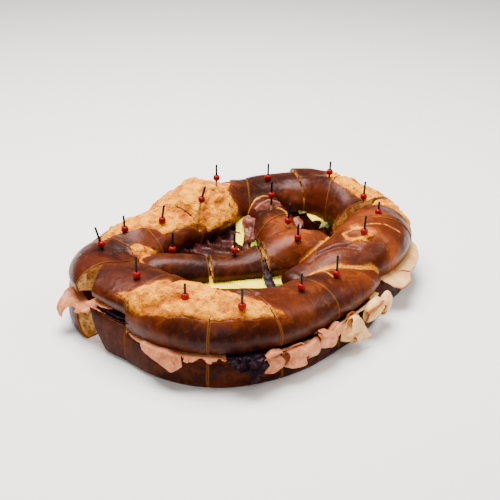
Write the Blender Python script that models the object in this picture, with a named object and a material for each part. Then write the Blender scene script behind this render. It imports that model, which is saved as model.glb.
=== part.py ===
"""A filled lye pretzel, sliced level and cut crosswise into twenty portions, each held by a bead pick.

The rope of dough lies in one ring with two arms twisted in its middle. Every portion has a crusty
top half, and the fillings and the bottom half run on beneath it. All rows of key points are in
millimetres in the plan of the pretzel; the meshes are in metres, with +Z up.
"""
import math

import bmesh
import bpy
import numpy as np
from mathutils import Matrix, Vector

MM = 0.001
LAYOUT_MIDDLE = (264.25, 180.62)
BOTTOM_HEIGHT = 30.0
SEAT_HEIGHT = 38.0
TOP_STEP = 14.0
BOTTOM_STEP = 18.0
LAYER_STEP = 16.0
ARC_POINTS = 12
CRUST_SQUARENESS = 2.3
KNIFE_GAP = 0.9
TOUCH_GAP = 0.45
FINE_STEPS = 24
TANGENT_REACH = 4.0
LINE_SLACK = 8.0
STRETCH_MARGIN = 46.0
END_ROUNDING = 0.7
LEAST_CROWN = 6.0
SMALLEST_HALF_WIDTH = 1.5

# How far a cutter reaches beyond its piece: below a top half, and below and above a bottom half.
CUTTER_DEPTH = 1.5
CUTTER_FOOT = -2.0
CUTTER_HEIGHT = 50.0

# Sections of the bottom half as shares of half width and height. The second falls away under rolled slices.
BOTTOM_PROFILE = ((-0.97, 1.0), (-1.03, 0.62), (-1.04, 0.28), (-0.98, 0.0),
                  (0.98, 0.0), (1.04, 0.28), (1.03, 0.62), (0.97, 1.0))
PRESSED_PROFILE = ((-0.97, 1.0), (-1.03, 0.62), (-1.04, 0.28), (-0.98, 0.0),
                   (0.98, 0.0), (1.04, 0.2), (1.0, 0.4), (0.66, 1.0))
PRESSED = ("bottom_19", "bottom_20")
CUTTER_PROFILE = ((-1.045, 1.0), (-1.045, 0.0), (1.045, 0.0), (1.045, 1.0))

STEM_RADIUS = 1.2
BEAD_RADIUS = 4.0
BEAD_HALF_HEIGHT = 3.4
STEM_ABOVE_BEAD = 17.0
STEM_BELOW_BEAD = 58.0
STEM_POINT = 6.0
STEM_TIP = 0.3
PICK_SIDES = 8
HOLE_RADIUS = 1.8
HOLE_BELOW_STEM = 0.6
HOLE_ABOVE_BEAD = 30.0
HOLE_SIDES = 6
RAY_HEIGHT = 200.0

# Each row: x, y, half width, top height.
RING_KEYS = (
    (312, 76, 28, 54), (290, 71, 31, 60), (262, 68, 32, 65), (232, 69, 34, 68),
    (200, 71, 36, 70), (168, 81, 39, 75), (138, 101, 42, 77), (119, 132, 42, 77),
    (115, 168, 42, 77), (111, 204, 42, 76), (112, 238, 42, 74), (128, 264, 41, 71),
    (156, 278, 40, 69), (190, 285, 39, 72), (225, 287, 38, 71), (255, 290, 41, 83),
    (290, 291, 42, 88), (318, 291, 38, 78), (350, 289, 36, 72), (384, 280, 36, 71),
    (413, 260, 36, 73), (430, 234, 38, 78), (434, 205, 40, 80), (430, 172, 41, 79),
    (417, 140, 42, 78), (392, 115, 43, 78), (355, 101, 42, 77), (316, 100, 36, 70),
    (284, 102, 28, 62), (256, 102, 20, 54),
)
CENTRE_ARM_KEYS = (
    (140, 232, 22, 60), (160, 226, 22, 63), (186, 209, 21, 61), (212, 190, 20, 57),
    (238, 173, 20, 57), (266, 161, 25, 66), (294, 153, 29, 73), (320, 141, 28, 67),
)
INNER_ARM_KEYS = (
    (354, 256, 24, 62), (340, 228, 26, 64), (322, 202, 27, 64), (304, 178, 27, 62), (288, 160, 26, 54),
)

# Knife lines in plan, each through an outer and an inner point.
CUT_20_19 = ((239, 28), (237, 112))
CUT_19_18 = ((163, 40), (171, 120))
CUT_18_17 = ((98, 76), (152, 118))
CUT_17_16 = ((70, 166), (160, 174))
CUT_16_END = ((60, 218), (149, 233))
CUT_1_START = ((60, 242), (149, 237))
CUT_1_2 = ((138, 322), (156, 236))
CUT_2_3 = ((176, 330), (190, 240))
CUT_3_4 = ((218, 335), (252, 240))
CUT_4_5 = ((292, 335), (289, 235))
CUT_5_6 = ((392, 328), (330, 255))
CUT_6_8 = ((440, 300), (394, 226))
CUT_8_9 = ((480, 234), (388, 188))
CUT_9_END = ((478, 153), (382, 151))
CUT_10_START = ((478, 147), (382, 144))
CUT_10_11 = ((420, 74), (354, 130))
CUT_11_13 = ((322, 138), (250, 86))
CUT_13_START = ((271, 179), (249, 142))
CUT_14_END = ((265, 183), (243, 146))
CUT_14_START = ((218, 205), (198, 176))
CUT_15_END = ((215, 207), (195, 178))
CUT_12_7 = ((286, 205), (344, 206))

# Portion number, strand, knife lines at its two ends, lift and growth of its crust in millimetres.
PORTIONS = (
    (20, "ring", None, CUT_20_19, 0.0, 0.0),
    (19, "ring", CUT_20_19, CUT_19_18, 0.0, 0.6),
    (18, "ring", CUT_19_18, CUT_18_17, 0.0, 0.0),
    (17, "ring", CUT_18_17, CUT_17_16, 0.0, 0.8),
    (16, "ring", CUT_17_16, CUT_16_END, 0.0, 0.0),
    (1, "ring", CUT_1_START, CUT_1_2, 0.0, 0.0),
    (2, "ring", CUT_1_2, CUT_2_3, 0.0, 0.6),
    (3, "ring", CUT_2_3, CUT_3_4, 0.0, 0.0),
    (4, "ring", CUT_3_4, CUT_4_5, 0.0, 1.2),
    (5, "ring", CUT_4_5, CUT_5_6, 0.0, -1.0),
    (6, "ring", CUT_5_6, CUT_6_8, 0.0, 0.0),
    (8, "ring", CUT_6_8, CUT_8_9, 2.5, 2.5),
    (9, "ring", CUT_8_9, CUT_9_END, 1.0, 1.0),
    (10, "ring", CUT_10_START, CUT_10_11, 0.0, -3.0),
    (11, "ring", CUT_10_11, CUT_11_13, 0.0, 0.0),
    (15, "centre", None, CUT_15_END, 0.0, 0.0),
    (14, "centre", CUT_14_START, CUT_14_END, 0.0, 0.6),
    (7, "inner", None, CUT_12_7, 0.0, 0.0),
    (12, "inner", CUT_12_7, None, 0.0, -0.8),
)

# Portion 13 is the end of the centre arm over the twist, with the tail of the right lobe beside it.
TWIST = 13

# What each portion is cut clear of: portion, strand, its knife lines and its growth.
NEIGHBOURS = (
    (11, "ring", None, CUT_20_19, 0.0), (TWIST, "ring", CUT_10_11, CUT_11_13, 0.0),
    (TWIST, "ring", None, CUT_20_19, 0.0), (12, "centre", CUT_14_START, CUT_14_END, 0.6),
    (12, "centre", CUT_13_START, None, 0.0), (12, "ring", CUT_11_13, None, 0.0),
    (15, "ring", CUT_17_16, CUT_2_3, 0.8), (7, "ring", CUT_4_5, CUT_6_8, 0.0),
)

# Burst lobes and grooves of the crust: x, y, radius and rise in millimetres.
SWELLS = (
    (134, 134, 17, 3.5), (122, 112, 12, -2.5), (160, 92, 16, 2.5), (140, 108, 9, -1.5),
    (206, 292, 17, 3.0), (250, 262, 18, 6.0), (290, 282, 19, 5.0), (270, 284, 9, -6.0),
    (232, 282, 8, -4.0), (452, 206, 18, 3.0), (448, 168, 16, 2.5), (344, 116, 13, 3.0),
    (366, 96, 15, 2.0), (120, 250, 14, 2.0), (178, 276, 12, 2.5), (420, 156, 16, -6.0),
)

# Bottom halves: name, the strand's knife lines at both ends.
BOTTOMS = (
    ("bottom_20", None, CUT_20_19), ("bottom_19", CUT_20_19, CUT_19_18), ("bottom_18", CUT_19_18, CUT_18_17),
    ("bottom_17", CUT_18_17, CUT_17_16), ("bottom_16", CUT_17_16, CUT_16_END),
    ("bottom_01", CUT_1_START, CUT_1_2),
    ("bottom_02_to_05", CUT_1_2, CUT_5_6), ("bottom_06_to_09", CUT_5_6, CUT_9_END),
    ("bottom_10_to_11", CUT_10_START, None),
)

# Pick number, x and y where it enters the crust, lean in x and y, bead height above the crust.
PICKS = (
    (1, 124, 269, -0.20, 0.16, 4.2), (2, 164, 280, -0.03, 0.02, 4.2), (3, 208, 271, 0.10, -0.10, 5.0),
    (4, 253, 259, 0.19, -0.19, 16.0), (5, 295, 275, 0.0, 0.0, 13.0), (6, 380, 274, 0.02, 0.0, 4.2),
    (7, 342, 231, 0.0, 0.0, 13.4), (8, 424, 213, 0.03, -0.02, 4.2), (9, 421, 156.5, 0.04, -0.02, 4.2),
    (10, 392, 112, 0.0, 0.0, 5.4), (11, 342, 92, 0.03, -0.02, 4.6), (12, 317, 181, 0.05, -0.04, 8.2),
    (13, 288, 139, 0.0, 0.0, 5.2), (14, 233, 180, 0.02, 0.0, 5.6), (15, 184, 225, 0.04, -0.02, 5.0),
    (16, 104, 184, 0.0, 0.0, 4.2), (17, 111, 120, 0.0, 0.0, 4.2), (18, 141, 74, 0.0, 0.0, 4.2),
    (19, 213, 65, 0.0, 0.0, 4.2), (20, 265, 64, 0.0, 0.0, 4.2),
)

# The bottom half under the twist stands this high, up to the cheese.
CENTRE_BOTTOM_HEIGHT = 34.8

# Filling layers: height of the middle of each slot between the bread halves, and sheet thickness.
MEAT_SLOT = (32.0, 2.8)
LEAF_SLOT = (34.7, 1.4)
CHEESE_SLOT = (36.8, 1.6)
EDGE_CLEARANCE = 3.2

# Ring layers: slot, ripple, ripple length and edge rows of station, outer reach, inner reach, droop.
RING_LAYERS = {
    "ham_left": (MEAT_SLOT, 2.0, 31.0, (
        (262, -13, -14, 0), (298, -12, -14, 0), (306, 4, -14, 15), (321, 12, -14, 25), (333, 18, -14, 40),
        (345, 12, -14, 30), (357, -3, -14, 0), (400, 2, -16, 20), (430, 3, -16, 20), (455, -4, -16, 0))),
    "ham_front": (MEAT_SLOT, 2.0, 23.0, (
        (156, -14, -14, 0), (176, -13, -14, 0), (182, 4, -14, 20), (192, 7, -14, 45), (203, 17, -14, 75),
        (213, 19, -14, 75), (223, 17, -14, 75), (229, 6, -14, 30), (239, 4, -14, 20), (248, -6, -14, 0),
        (257, -13, -14, 0))),
    "ham_rolls": (MEAT_SLOT, 0.0, 20.0, ((79, 1, -14, 0), (149, 1, -14, 0))),
    "turkey_rolls": (MEAT_SLOT, 0.0, 20.0, ((4, 1, -14, 0), (74, 1, -14, 0))),
    "turkey_right": (MEAT_SLOT, 1.5, 37.0, (
        (600, -4, -14, 0), (700, -3, -14, 0), (780, -3, -14, 0), (790, 2, -14, 20), (806, 8, -14, 30),
        (822, 8, -14, 30), (836, 9, -14, 30), (848, 15, -14, 25), (866, 18, -14, 20), (875, 15, -14, 20))),
    "lettuce_dark": (LEAF_SLOT, 2.5, 13.0, (
        (20, -12, -8, 0), (152, -12, -8, 0), (156, 6, -8, 60), (160, 18, -8, 76), (167, 20, -8, 78),
        (172, 8, -8, 60), (176, -7, -8, 0), (247, -7, -8, 0), (253, 3, -8, 25), (284, 5, -8, 25),
        (292, 2, -8, 15), (298, -8, -8, 0), (312, -8, -8, 0))),
    "lettuce_green": (LEAF_SLOT, 0.8, 17.0, (
        (540, -6, 4, 0), (590, -6, 7, 0), (640, -6, 4, 0), (700, -6, 9, 0), (750, -6, 6, 0),
        (800, -6, -6, 0), (866, -8, -8, 0))),
    "cheese_back": (CHEESE_SLOT, 0.3, 60.0, (
        (505, -14, -6, 0), (536, -14, 2, 0), (546, -14, 20, 0), (560, -14, 20, 0), (570, -14, 2, 0),
        (610, -14, -4, 0), (680, -14, -2, 0), (700, -14, 14, 0), (735, -14, 17, 0), (755, -14, 6, 0),
        (768, -14, -6, 0))),
}

# Rolled slices: station, centre past the bread's side, z, half length, half depth, half height, lean.
HAM_ROLLS = (
    (83, 0.5, 28, 9, 6, 8.5, 0), (97, 0.5, 27, 10, 6, 9.5, -8), (112, 0.5, 26, 10, 6, 9.5, 8),
    (128, 0.5, 25, 10, 6, 9.5, -6), (143, 0.5, 26, 9, 6, 9.0, 8),
)
TURKEY_ROLLS = (
    (4, 8.0, 27, 8, 6, 9.0, 10), (21, 3.0, 27, 10, 6.5, 9.5, 8), (45, 1.5, 26, 13, 6, 9.5, -8),
    (56, 5.5, 15, 16, 3.5, 8.0, 12),
)
ROLL_SIDES = 8
ROLL_RINGS = 4
PRESSED_GAP = 1.0

# Ham in the middle hole: its reach in x, its near edge as rows of x and y, its far edge, the line of
# the arm that it lies flat under, as x at a y and slope, and its folds.
RAW_HAM_X = (212.0, 354.0)
RAW_HAM_NEAR = ((212, 218), (240, 203), (262, 194), (300, 191), (354, 200))
RAW_HAM_FAR = 246.0
RAW_HAM_ARM = (276.0, 193.0, 0.72)
RAW_HAM_FADE = 12.0
RAW_HAM_RISE = (3.0, 8.0)
RAW_HAM_FOLDS = 30.0

# Cheese in the front hole: its reach in x and its near and far edges as rows of x and y.
CHEESE_X = (168.0, 300.0)
CHEESE_NEAR = ((168, 108), (200, 96), (250, 92), (300, 112))
CHEESE_FAR = ((168, 205), (200, 198), (240, 172), (270, 166), (300, 162))
CHEESE_SAG = 0.25


def metres(values):
    """Turn millimetre plan rows into metres round the middle of the pretzel."""
    points = np.array(values, float)
    points[..., 0] -= LAYOUT_MIDDLE[0]
    points[..., 1] -= LAYOUT_MIDDLE[1]
    return points * MM


class Strand:
    """A smooth centreline through key rows of x, y, half width and top height, evenly sampled."""

    def __init__(self, keys):
        keys = np.array(keys, float)
        padded = np.vstack([2 * keys[0] - keys[1], keys, 2 * keys[-1] - keys[-2]])
        share = np.linspace(0.0, 1.0, FINE_STEPS, endpoint=False)[:, None]
        pieces = []
        for before, start, end, after in zip(padded, padded[1:], padded[2:], padded[3:]):
            pieces.append(0.5 * (2 * start + (end - before) * share
                                 + (2 * before - 5 * start + 4 * end - after) * share ** 2
                                 + (3 * start - before - 3 * end + after) * share ** 3))
        fine = np.vstack(pieces + [keys[-1:]])
        run = np.concatenate([[0.0], np.cumsum(np.linalg.norm(np.diff(fine[:, :2], axis=0), axis=1))])
        self.length = run[-1]
        self.fine = fine
        self.run = run

    def at(self, stations):
        """Rows, unit tangents and unit outward normals at distances along the centreline."""
        stations = np.asarray(stations, float)
        rows = np.stack([np.interp(stations, self.run, column) for column in self.fine.T], axis=1)
        ahead, behind = [np.stack([np.interp(places, self.run, column) for column in self.fine.T[:2]], axis=1)
                         for places in (stations + TANGENT_REACH, stations - TANGENT_REACH)]
        tangents = ahead - behind
        tangents /= np.linalg.norm(tangents, axis=1)[:, None]
        outward = np.stack([-tangents[:, 1], tangents[:, 0]], axis=1)
        return rows, tangents, outward

    def crossing(self, line):
        """Distance along the centreline at which it crosses a knife line."""
        first, second = np.array(line, float)
        along = (second - first) / np.linalg.norm(second - first)
        across = np.array([-along[1], along[0]])
        offsets = (self.fine[:, :2] - first) @ across
        travel = (self.fine[:, :2] - first) @ along
        reach = np.linalg.norm(second - first)
        near = (travel > -LINE_SLACK) & (travel < reach + LINE_SLACK)
        return self.run[np.where(near, np.abs(offsets), 1e9).argmin()]


STRANDS = {"ring": Strand(RING_KEYS), "centre": Strand(CENTRE_ARM_KEYS), "inner": Strand(INNER_ARM_KEYS)}


def swell(x, y):
    """Rise of the burst lobes and grooves at a place in plan."""
    rise = np.zeros_like(x)
    for centre_x, centre_y, radius, amount in SWELLS:
        rise += amount * np.exp(-((x - centre_x) ** 2 + (y - centre_y) ** 2) / radius ** 2)
    return rise


def crust_loops(rows, outward, lift, grow, foot=0.0):
    """Loops round the top half: a squared arch that tucks in at its flat underside."""
    angle = np.linspace(0.0, math.pi, ARC_POINTS)
    power = 2.0 / CRUST_SQUARENESS
    side = np.sign(np.cos(angle)) * np.abs(np.cos(angle)) ** power
    up = np.abs(np.sin(angle)) ** power
    tuck = 0.93 + 0.07 * np.minimum(1.0, 3.0 * up)
    half_width = rows[:, 2, None] + grow
    height = rows[:, 3, None] - SEAT_HEIGHT + grow
    plan = rows[:, None, :2] + outward[:, None, :] * (half_width * side * tuck)[..., None]
    rise = swell(plan[..., 0], plan[..., 1]) * up
    level = SEAT_HEIGHT + lift * np.minimum(1.0, 4.0 * up) + np.maximum(height, LEAST_CROWN) * up + rise
    level[:, [0, -1]] -= foot
    return np.concatenate([plan, level[..., None]], axis=2)


def bottom_loops(rows, outward, profile, grow, foot, top_height):
    """Loops round the bottom half: a flat base, nearly upright sides and a level cut on top."""
    offset, rise = np.array(profile).T
    half_width = np.maximum(rows[:, 2, None] + grow, SMALLEST_HALF_WIDTH)
    plan = rows[:, None, :2] + outward[:, None, :] * (half_width * offset)[..., None]
    level = np.broadcast_to(foot + rise * top_height, plan.shape[:2])
    return np.concatenate([plan, level[..., None]], axis=2)


def round_end(rows, tangents, outward, at_start, grow):
    """Extra rows past a loose end, narrowing along a quarter circle."""
    index = 0 if at_start else -1
    row, tangent, side = rows[index], tangents[index], outward[index]
    sign = -1.0 if at_start else 1.0
    extra = []
    for degrees in (35, 62, 82):
        turn = math.radians(degrees)
        step = row.copy()
        step[:2] += sign * tangent * (row[2] * END_ROUNDING * math.sin(turn) + grow)
        step[2] = row[2] * math.cos(turn)
        step[3] = SEAT_HEIGHT + (row[3] - SEAT_HEIGHT) * max(0.35, math.cos(turn) ** 0.6)
        extra.append(step)
    extra = np.array(extra[::-1] if at_start else extra)
    sides = np.repeat(side[None, :], len(extra), axis=0)
    if at_start:
        return np.vstack([extra, rows]), np.vstack([sides, outward])
    return np.vstack([rows, extra]), np.vstack([outward, sides])


def skin(loops):
    """A closed mesh over a row of closed loops, with a face at each end."""
    mesh = bmesh.new()
    rings = [[mesh.verts.new(point) for point in loop] for loop in metres(loops)]
    count = len(rings[0])
    for first, second in zip(rings, rings[1:]):
        for index in range(count):
            following = (index + 1) % count
            mesh.faces.new((first[index], first[following], second[following], second[index]))
    mesh.faces.new(rings[0][::-1])
    mesh.faces.new(rings[-1])
    bmesh.ops.recalc_face_normals(mesh, faces=mesh.faces)
    return mesh


def knife(mesh, line, keep, gap):
    """Cut upright along a line in plan, keep the side of one point and close the cut."""
    first, second, kept = metres([line[0] + (0,), line[1] + (0,), tuple(keep) + (0,)])
    along = Vector(second - first).normalized()
    across = Vector((-along.y, along.x, 0.0))
    if across.dot(Vector(kept - first)) > 0.0:
        across = -across
    place = Vector(first) - across * gap * 0.5 * MM
    geometry = mesh.verts[:] + mesh.edges[:] + mesh.faces[:]
    bmesh.ops.bisect_plane(mesh, geom=geometry, plane_co=place, plane_no=across, clear_outer=True)
    rim = [edge for edge in mesh.edges if edge.is_boundary]
    bmesh.ops.holes_fill(mesh, edges=rim, sides=0)


def stretch(strand_name, start_cut, end_cut, make_loops, step=TOP_STEP, grow=0.0):
    """One length of a strand between two knife lines, or to its rounded end, made longer by grow."""
    strand = STRANDS[strand_name]
    start = strand.crossing(start_cut) if start_cut else 0.0
    end = strand.crossing(end_cut) if end_cut else strand.length
    low = max(0.0, start - STRETCH_MARGIN) if start_cut else 0.0
    high = min(strand.length, end + STRETCH_MARGIN) if end_cut else strand.length
    stations = np.linspace(low, high, max(4, int(round((high - low) / step)) + 1))
    rows, tangents, outward = strand.at(stations)
    middle = strand.at([0.5 * (start + end)])[0][0, :2]
    if not start_cut:
        rows, outward = round_end(rows, tangents, outward, True, grow)
    if not end_cut:
        rows, outward = round_end(rows, tangents, outward, False, grow)
    mesh = skin(make_loops(rows, outward))
    for cut in (start_cut, end_cut):
        if cut:
            knife(mesh, cut, middle, KNIFE_GAP - 2.0 * grow)
    return mesh


def crust(strand, start, end, lift=0.0, grow=0.0):
    """The top half of one portion."""
    return stretch(strand, start, end, lambda rows, outward: crust_loops(rows, outward, lift, grow))


def crust_cutter(strand, start, end, grow):
    """The space that a top half takes up, with the gap that its neighbour keeps and a lower foot."""
    return stretch(strand, start, end,
                   lambda rows, outward: crust_loops(rows, outward, 0.0, grow + TOUCH_GAP, CUTTER_DEPTH),
                   TOP_STEP, TOUCH_GAP)


def material(name, colour, roughness):
    """A plain Principled material."""
    finish = bpy.data.materials.new(name)
    finish.use_nodes = True
    shader = finish.node_tree.nodes["Principled BSDF"]
    shader.inputs["Base Color"].default_value = colour + (1.0,)
    shader.inputs["Roughness"].default_value = roughness
    return finish


def add_object(name, mesh, finish=None):
    """Put a mesh into the scene under its node's name."""
    data = bpy.data.meshes.new(name)
    mesh.to_mesh(data)
    mesh.free()
    if finish:
        data.materials.append(finish)
    node = bpy.data.objects.new(name, data)
    bpy.context.scene.collection.objects.link(node)
    return node


def apply_boolean(node, tool_mesh, operation):
    """Join a mesh to a node or take it away, at once."""
    tool = add_object("tool", tool_mesh)
    step = node.modifiers.new("fit", "BOOLEAN")
    step.solver = "EXACT"
    step.operation = operation
    step.object = tool
    graph = bpy.context.evaluated_depsgraph_get()
    result = bpy.data.meshes.new_from_object(node.evaluated_get(graph))
    node.modifiers.remove(step)
    spent = [node.data, tool.data]
    node.data = result
    bpy.data.objects.remove(tool)
    for data in spent:
        bpy.data.meshes.remove(data)


def drop_scraps(node):
    """Keep only the largest body of a mesh."""
    mesh = bmesh.new()
    mesh.from_mesh(node.data)
    waiting = set(mesh.verts)
    bodies = []
    while waiting:
        body = [waiting.pop()]
        for vert in body:
            for edge in vert.link_edges:
                other = edge.other_vert(vert)
                if other in waiting:
                    waiting.remove(other)
                    body.append(other)
        bodies.append(body)
    bodies.sort(key=len)
    bmesh.ops.delete(mesh, geom=[vert for body in bodies[:-1] for vert in body], context="VERTS")
    mesh.to_mesh(node.data)
    mesh.free()


def build_tops(finish):
    """The twenty crusted top portions, each cut clear of the strand it lies against."""
    tops = {}
    for number, *shape in PORTIONS:
        tops[number] = add_object("portion_%02d_top" % number, crust(*shape), finish)
    tops[TWIST] = add_object("portion_%02d_top" % TWIST, crust("centre", CUT_13_START, None), finish)
    apply_boolean(tops[TWIST], crust("ring", CUT_11_13, None), "UNION")
    for number, strand, start, end, grow in NEIGHBOURS:
        apply_boolean(tops[number], crust_cutter(strand, start, end, grow), "DIFFERENCE")
    return tops


def bottom(strand, start, end, top_height=BOTTOM_HEIGHT, profile=BOTTOM_PROFILE):
    """One stretch of the bottom half."""
    return stretch(strand, start, end,
                   lambda rows, outward: bottom_loops(rows, outward, profile, 0.0, 0.0, top_height),
                   BOTTOM_STEP)


def bottom_cutter(strand, start, end):
    """The space beside and above a stretch of the bottom half, with the gap that its neighbour keeps."""
    return stretch(strand, start, end,
                   lambda rows, outward: bottom_loops(rows, outward, CUTTER_PROFILE, TOUCH_GAP, CUTTER_FOOT,
                                                      CUTTER_HEIGHT),
                   BOTTOM_STEP, KNIFE_GAP)


def build_bottoms(finish):
    """The bottom halves round the ring and under the twist."""
    nodes = {}
    for name, start, end in BOTTOMS:
        profile = PRESSED_PROFILE if name in PRESSED else BOTTOM_PROFILE
        nodes[name] = add_object(name, bottom("ring", start, end, profile=profile), finish)
    apply_boolean(nodes["bottom_10_to_11"], bottom_cutter("ring", None, CUT_20_19), "DIFFERENCE")
    twist = add_object("bottom_12_to_15", bottom("centre", None, None, CENTRE_BOTTOM_HEIGHT), finish)
    apply_boolean(twist, bottom("inner", None, None), "UNION")
    for _, start, end in BOTTOMS:
        apply_boolean(twist, bottom_cutter("ring", start, end), "DIFFERENCE")
    drop_scraps(twist)
    nodes["bottom_12_to_15"] = twist
    return nodes


def sheet(points, thickness):
    """A closed wavy solid over a grid of points, split into triangles alike on both faces."""
    run_u = np.gradient(points, axis=0)
    run_v = np.gradient(points, axis=1)
    normal = np.cross(run_u, run_v)
    normal /= np.linalg.norm(normal, axis=2)[..., None]
    if normal[..., 2].sum() < 0.0:
        normal = -normal
    upper = metres(points + normal * thickness * 0.5)
    lower = metres(points - normal * thickness * 0.5)
    mesh = bmesh.new()
    count_u, count_v = points.shape[:2]
    grids = [[[mesh.verts.new(point) for point in row] for row in grid] for grid in (upper, lower)]
    for grid in grids:
        for i in range(count_u - 1):
            for j in range(count_v - 1):
                a, b, c, d = grid[i][j], grid[i + 1][j], grid[i + 1][j + 1], grid[i][j + 1]
                mesh.faces.new((a, b, c))
                mesh.faces.new((a, c, d))
    border = [(i, 0) for i in range(count_u)] + [(count_u - 1, j) for j in range(1, count_v)]
    border += [(i, count_v - 1) for i in range(count_u - 2, -1, -1)]
    border += [(0, j) for j in range(count_v - 2, 0, -1)]
    for (i, j), (k, m) in zip(border, border[1:] + border[:1]):
        mesh.faces.new((grids[0][i][j], grids[0][k][m], grids[1][k][m], grids[1][i][j]))
    bmesh.ops.recalc_face_normals(mesh, faces=mesh.faces)
    return mesh


def ring_layer(edges, slot, wave, wave_length):
    """A slice or leaf along the ring: level between the bread halves, drooping where it sticks out.

    Each edge row holds a station, how far the layer reaches past the outer and the inner side of the
    bread, and the droop of its outer flap in degrees.
    """
    level, thickness = slot
    edges = np.array(edges, float)
    stations = [edges[0, 0]]
    for start, end in zip(edges[:, 0], edges[1:, 0]):
        stations.extend(np.linspace(start, end, math.ceil((end - start) / LAYER_STEP) + 1)[1:])
    stations = np.array(stations)
    outer, inner, droop = [np.interp(stations, edges[:, 0], column) for column in edges.T[1:]]
    rows, _, outward = STRANDS["ring"].at(stations)
    half = rows[:, 2]
    flap = np.maximum(outer, 1.0)
    outer_edge = half + np.minimum(outer, 0.0)
    inner_reach = half + inner
    phase = 2.0 * math.pi * stations / wave_length
    lean = np.radians(droop)
    ripple = wave * (0.5 + 0.5 * np.sin(phase)) * (outer > 0.0)
    curl = 0.4 * wave * np.sin(1.3 * phase + 1.0) * (inner > 0.0)
    rim = outer_edge + EDGE_CLEARANCE
    columns = (
        (-inner_reach, level + curl),
        (-0.4 * inner_reach, np.full_like(half, level)),
        (outer_edge, np.full_like(half, level)),
        (rim + 0.5 * flap * np.cos(0.5 * lean) + 0.5 * ripple, level - 0.5 * flap * np.sin(0.5 * lean)),
        (rim + flap * np.cos(lean) + ripple, level - flap * np.sin(lean)),
    )
    grid = np.stack([np.column_stack([rows[:, :2] + outward * offset[:, None], height])
                     for offset, height in columns], axis=1)
    return sheet(grid, thickness)


def roll(row, grow=0.0):
    """A rolled slice as a soft closed lump beside the ring."""
    station, past, z, half_length, half_depth, half_height, lean = row
    rows, tangents, outward = STRANDS["ring"].at([station])
    x, y = rows[0, :2] + outward[0] * (rows[0, 2] + past)
    heading = math.atan2(tangents[0, 1], tangents[0, 0])
    mesh = bmesh.new()
    bmesh.ops.create_uvsphere(mesh, u_segments=ROLL_SIDES, v_segments=ROLL_RINGS, radius=1.0)
    place = Matrix.Translation(Vector(metres((x, y, z))))
    turn = Matrix.Rotation(heading, 4, "Z") @ Matrix.Rotation(math.radians(lean), 4, "Y")
    size = Matrix.Diagonal([(half + grow) * MM for half in (half_length, half_depth, half_height)] + [1.0])
    bmesh.ops.transform(mesh, matrix=place @ turn @ size, verts=mesh.verts)
    return mesh


def raw_ham():
    """Thin ham that fills the middle hole in folds and lies flat under the inner arm."""
    level, thickness = MEAT_SLOT
    across, along = np.meshgrid(np.linspace(0.0, 1.0, 7), np.linspace(0.0, 1.0, 17))
    x = RAW_HAM_X[0] + (RAW_HAM_X[1] - RAW_HAM_X[0]) * along
    near = np.interp(x, *np.transpose(RAW_HAM_NEAR))
    y = near + (RAW_HAM_FAR - near) * across
    arm_x, arm_y, arm_slope = RAW_HAM_ARM
    arm_side = arm_x + arm_slope * (y - arm_y)
    hole = np.clip((arm_side - x) / RAW_HAM_FADE, 0.0, 1.0) * np.sin(math.pi * across) ** 0.7
    fold = 0.5 + 0.5 * np.sin(along * RAW_HAM_FOLDS + 2.0 * across)
    rise = hole * (RAW_HAM_RISE[0] + RAW_HAM_RISE[1] * fold)
    return sheet(np.stack([x, y, level + rise], axis=2), thickness)


def front_cheese():
    """Overlapping cheese slices as one flat sheet that closes the front hole under the centre arm."""
    level, thickness = CHEESE_SLOT
    across, along = np.meshgrid(np.linspace(0.0, 1.0, 4), np.linspace(0.0, 1.0, 10))
    x = CHEESE_X[0] + (CHEESE_X[1] - CHEESE_X[0]) * along
    near = np.interp(x, *np.transpose(CHEESE_NEAR))
    far = np.interp(x, *np.transpose(CHEESE_FAR))
    y = near + (far - near) * across
    sag = -CHEESE_SAG * np.sin(math.pi * along * 3.0)
    return sheet(np.stack([x, y, level + sag], axis=2), thickness)


def build_fillings(finishes):
    """The layers between the bread halves."""
    nodes = {}
    for name, (slot, wave, wave_length, edges) in RING_LAYERS.items():
        nodes[name] = add_object(name, ring_layer(edges, slot, wave, wave_length), finishes[name])
    for name, rolls in (("ham_rolls", HAM_ROLLS), ("turkey_rolls", TURKEY_ROLLS)):
        for row in rolls:
            apply_boolean(nodes[name], roll(row), "UNION")
    nodes["raw_ham"] = add_object("raw_ham", raw_ham(), finishes["raw_ham"])
    nodes["cheese_front"] = add_object("cheese_front", front_cheese(), finishes["cheese_front"])
    return nodes


def crust_height(tops, x, y):
    """Height of the crust over a place in plan, in metres."""
    start = Vector(metres((x, y, RAY_HEIGHT)))
    heights = []
    for node in tops:
        hit, place, _, _ = node.ray_cast(start, Vector((0.0, 0.0, -1.0)))
        if hit:
            heights.append(place.z)
    return max(heights)


def pick_frame(tops, row):
    """Turn and place of a pick, with its origin at the middle of its bead."""
    _, x, y, lean_x, lean_y, bead_height = row
    axis = Vector((lean_x, lean_y, 1.0)).normalized()
    base = Vector(metres((x, y, 0.0)))
    base.z = crust_height(tops, x, y)
    turn = Vector((0.0, 0.0, 1.0)).rotation_difference(axis).to_matrix().to_4x4()
    return Matrix.Translation(base + axis * bead_height * MM) @ turn


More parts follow.
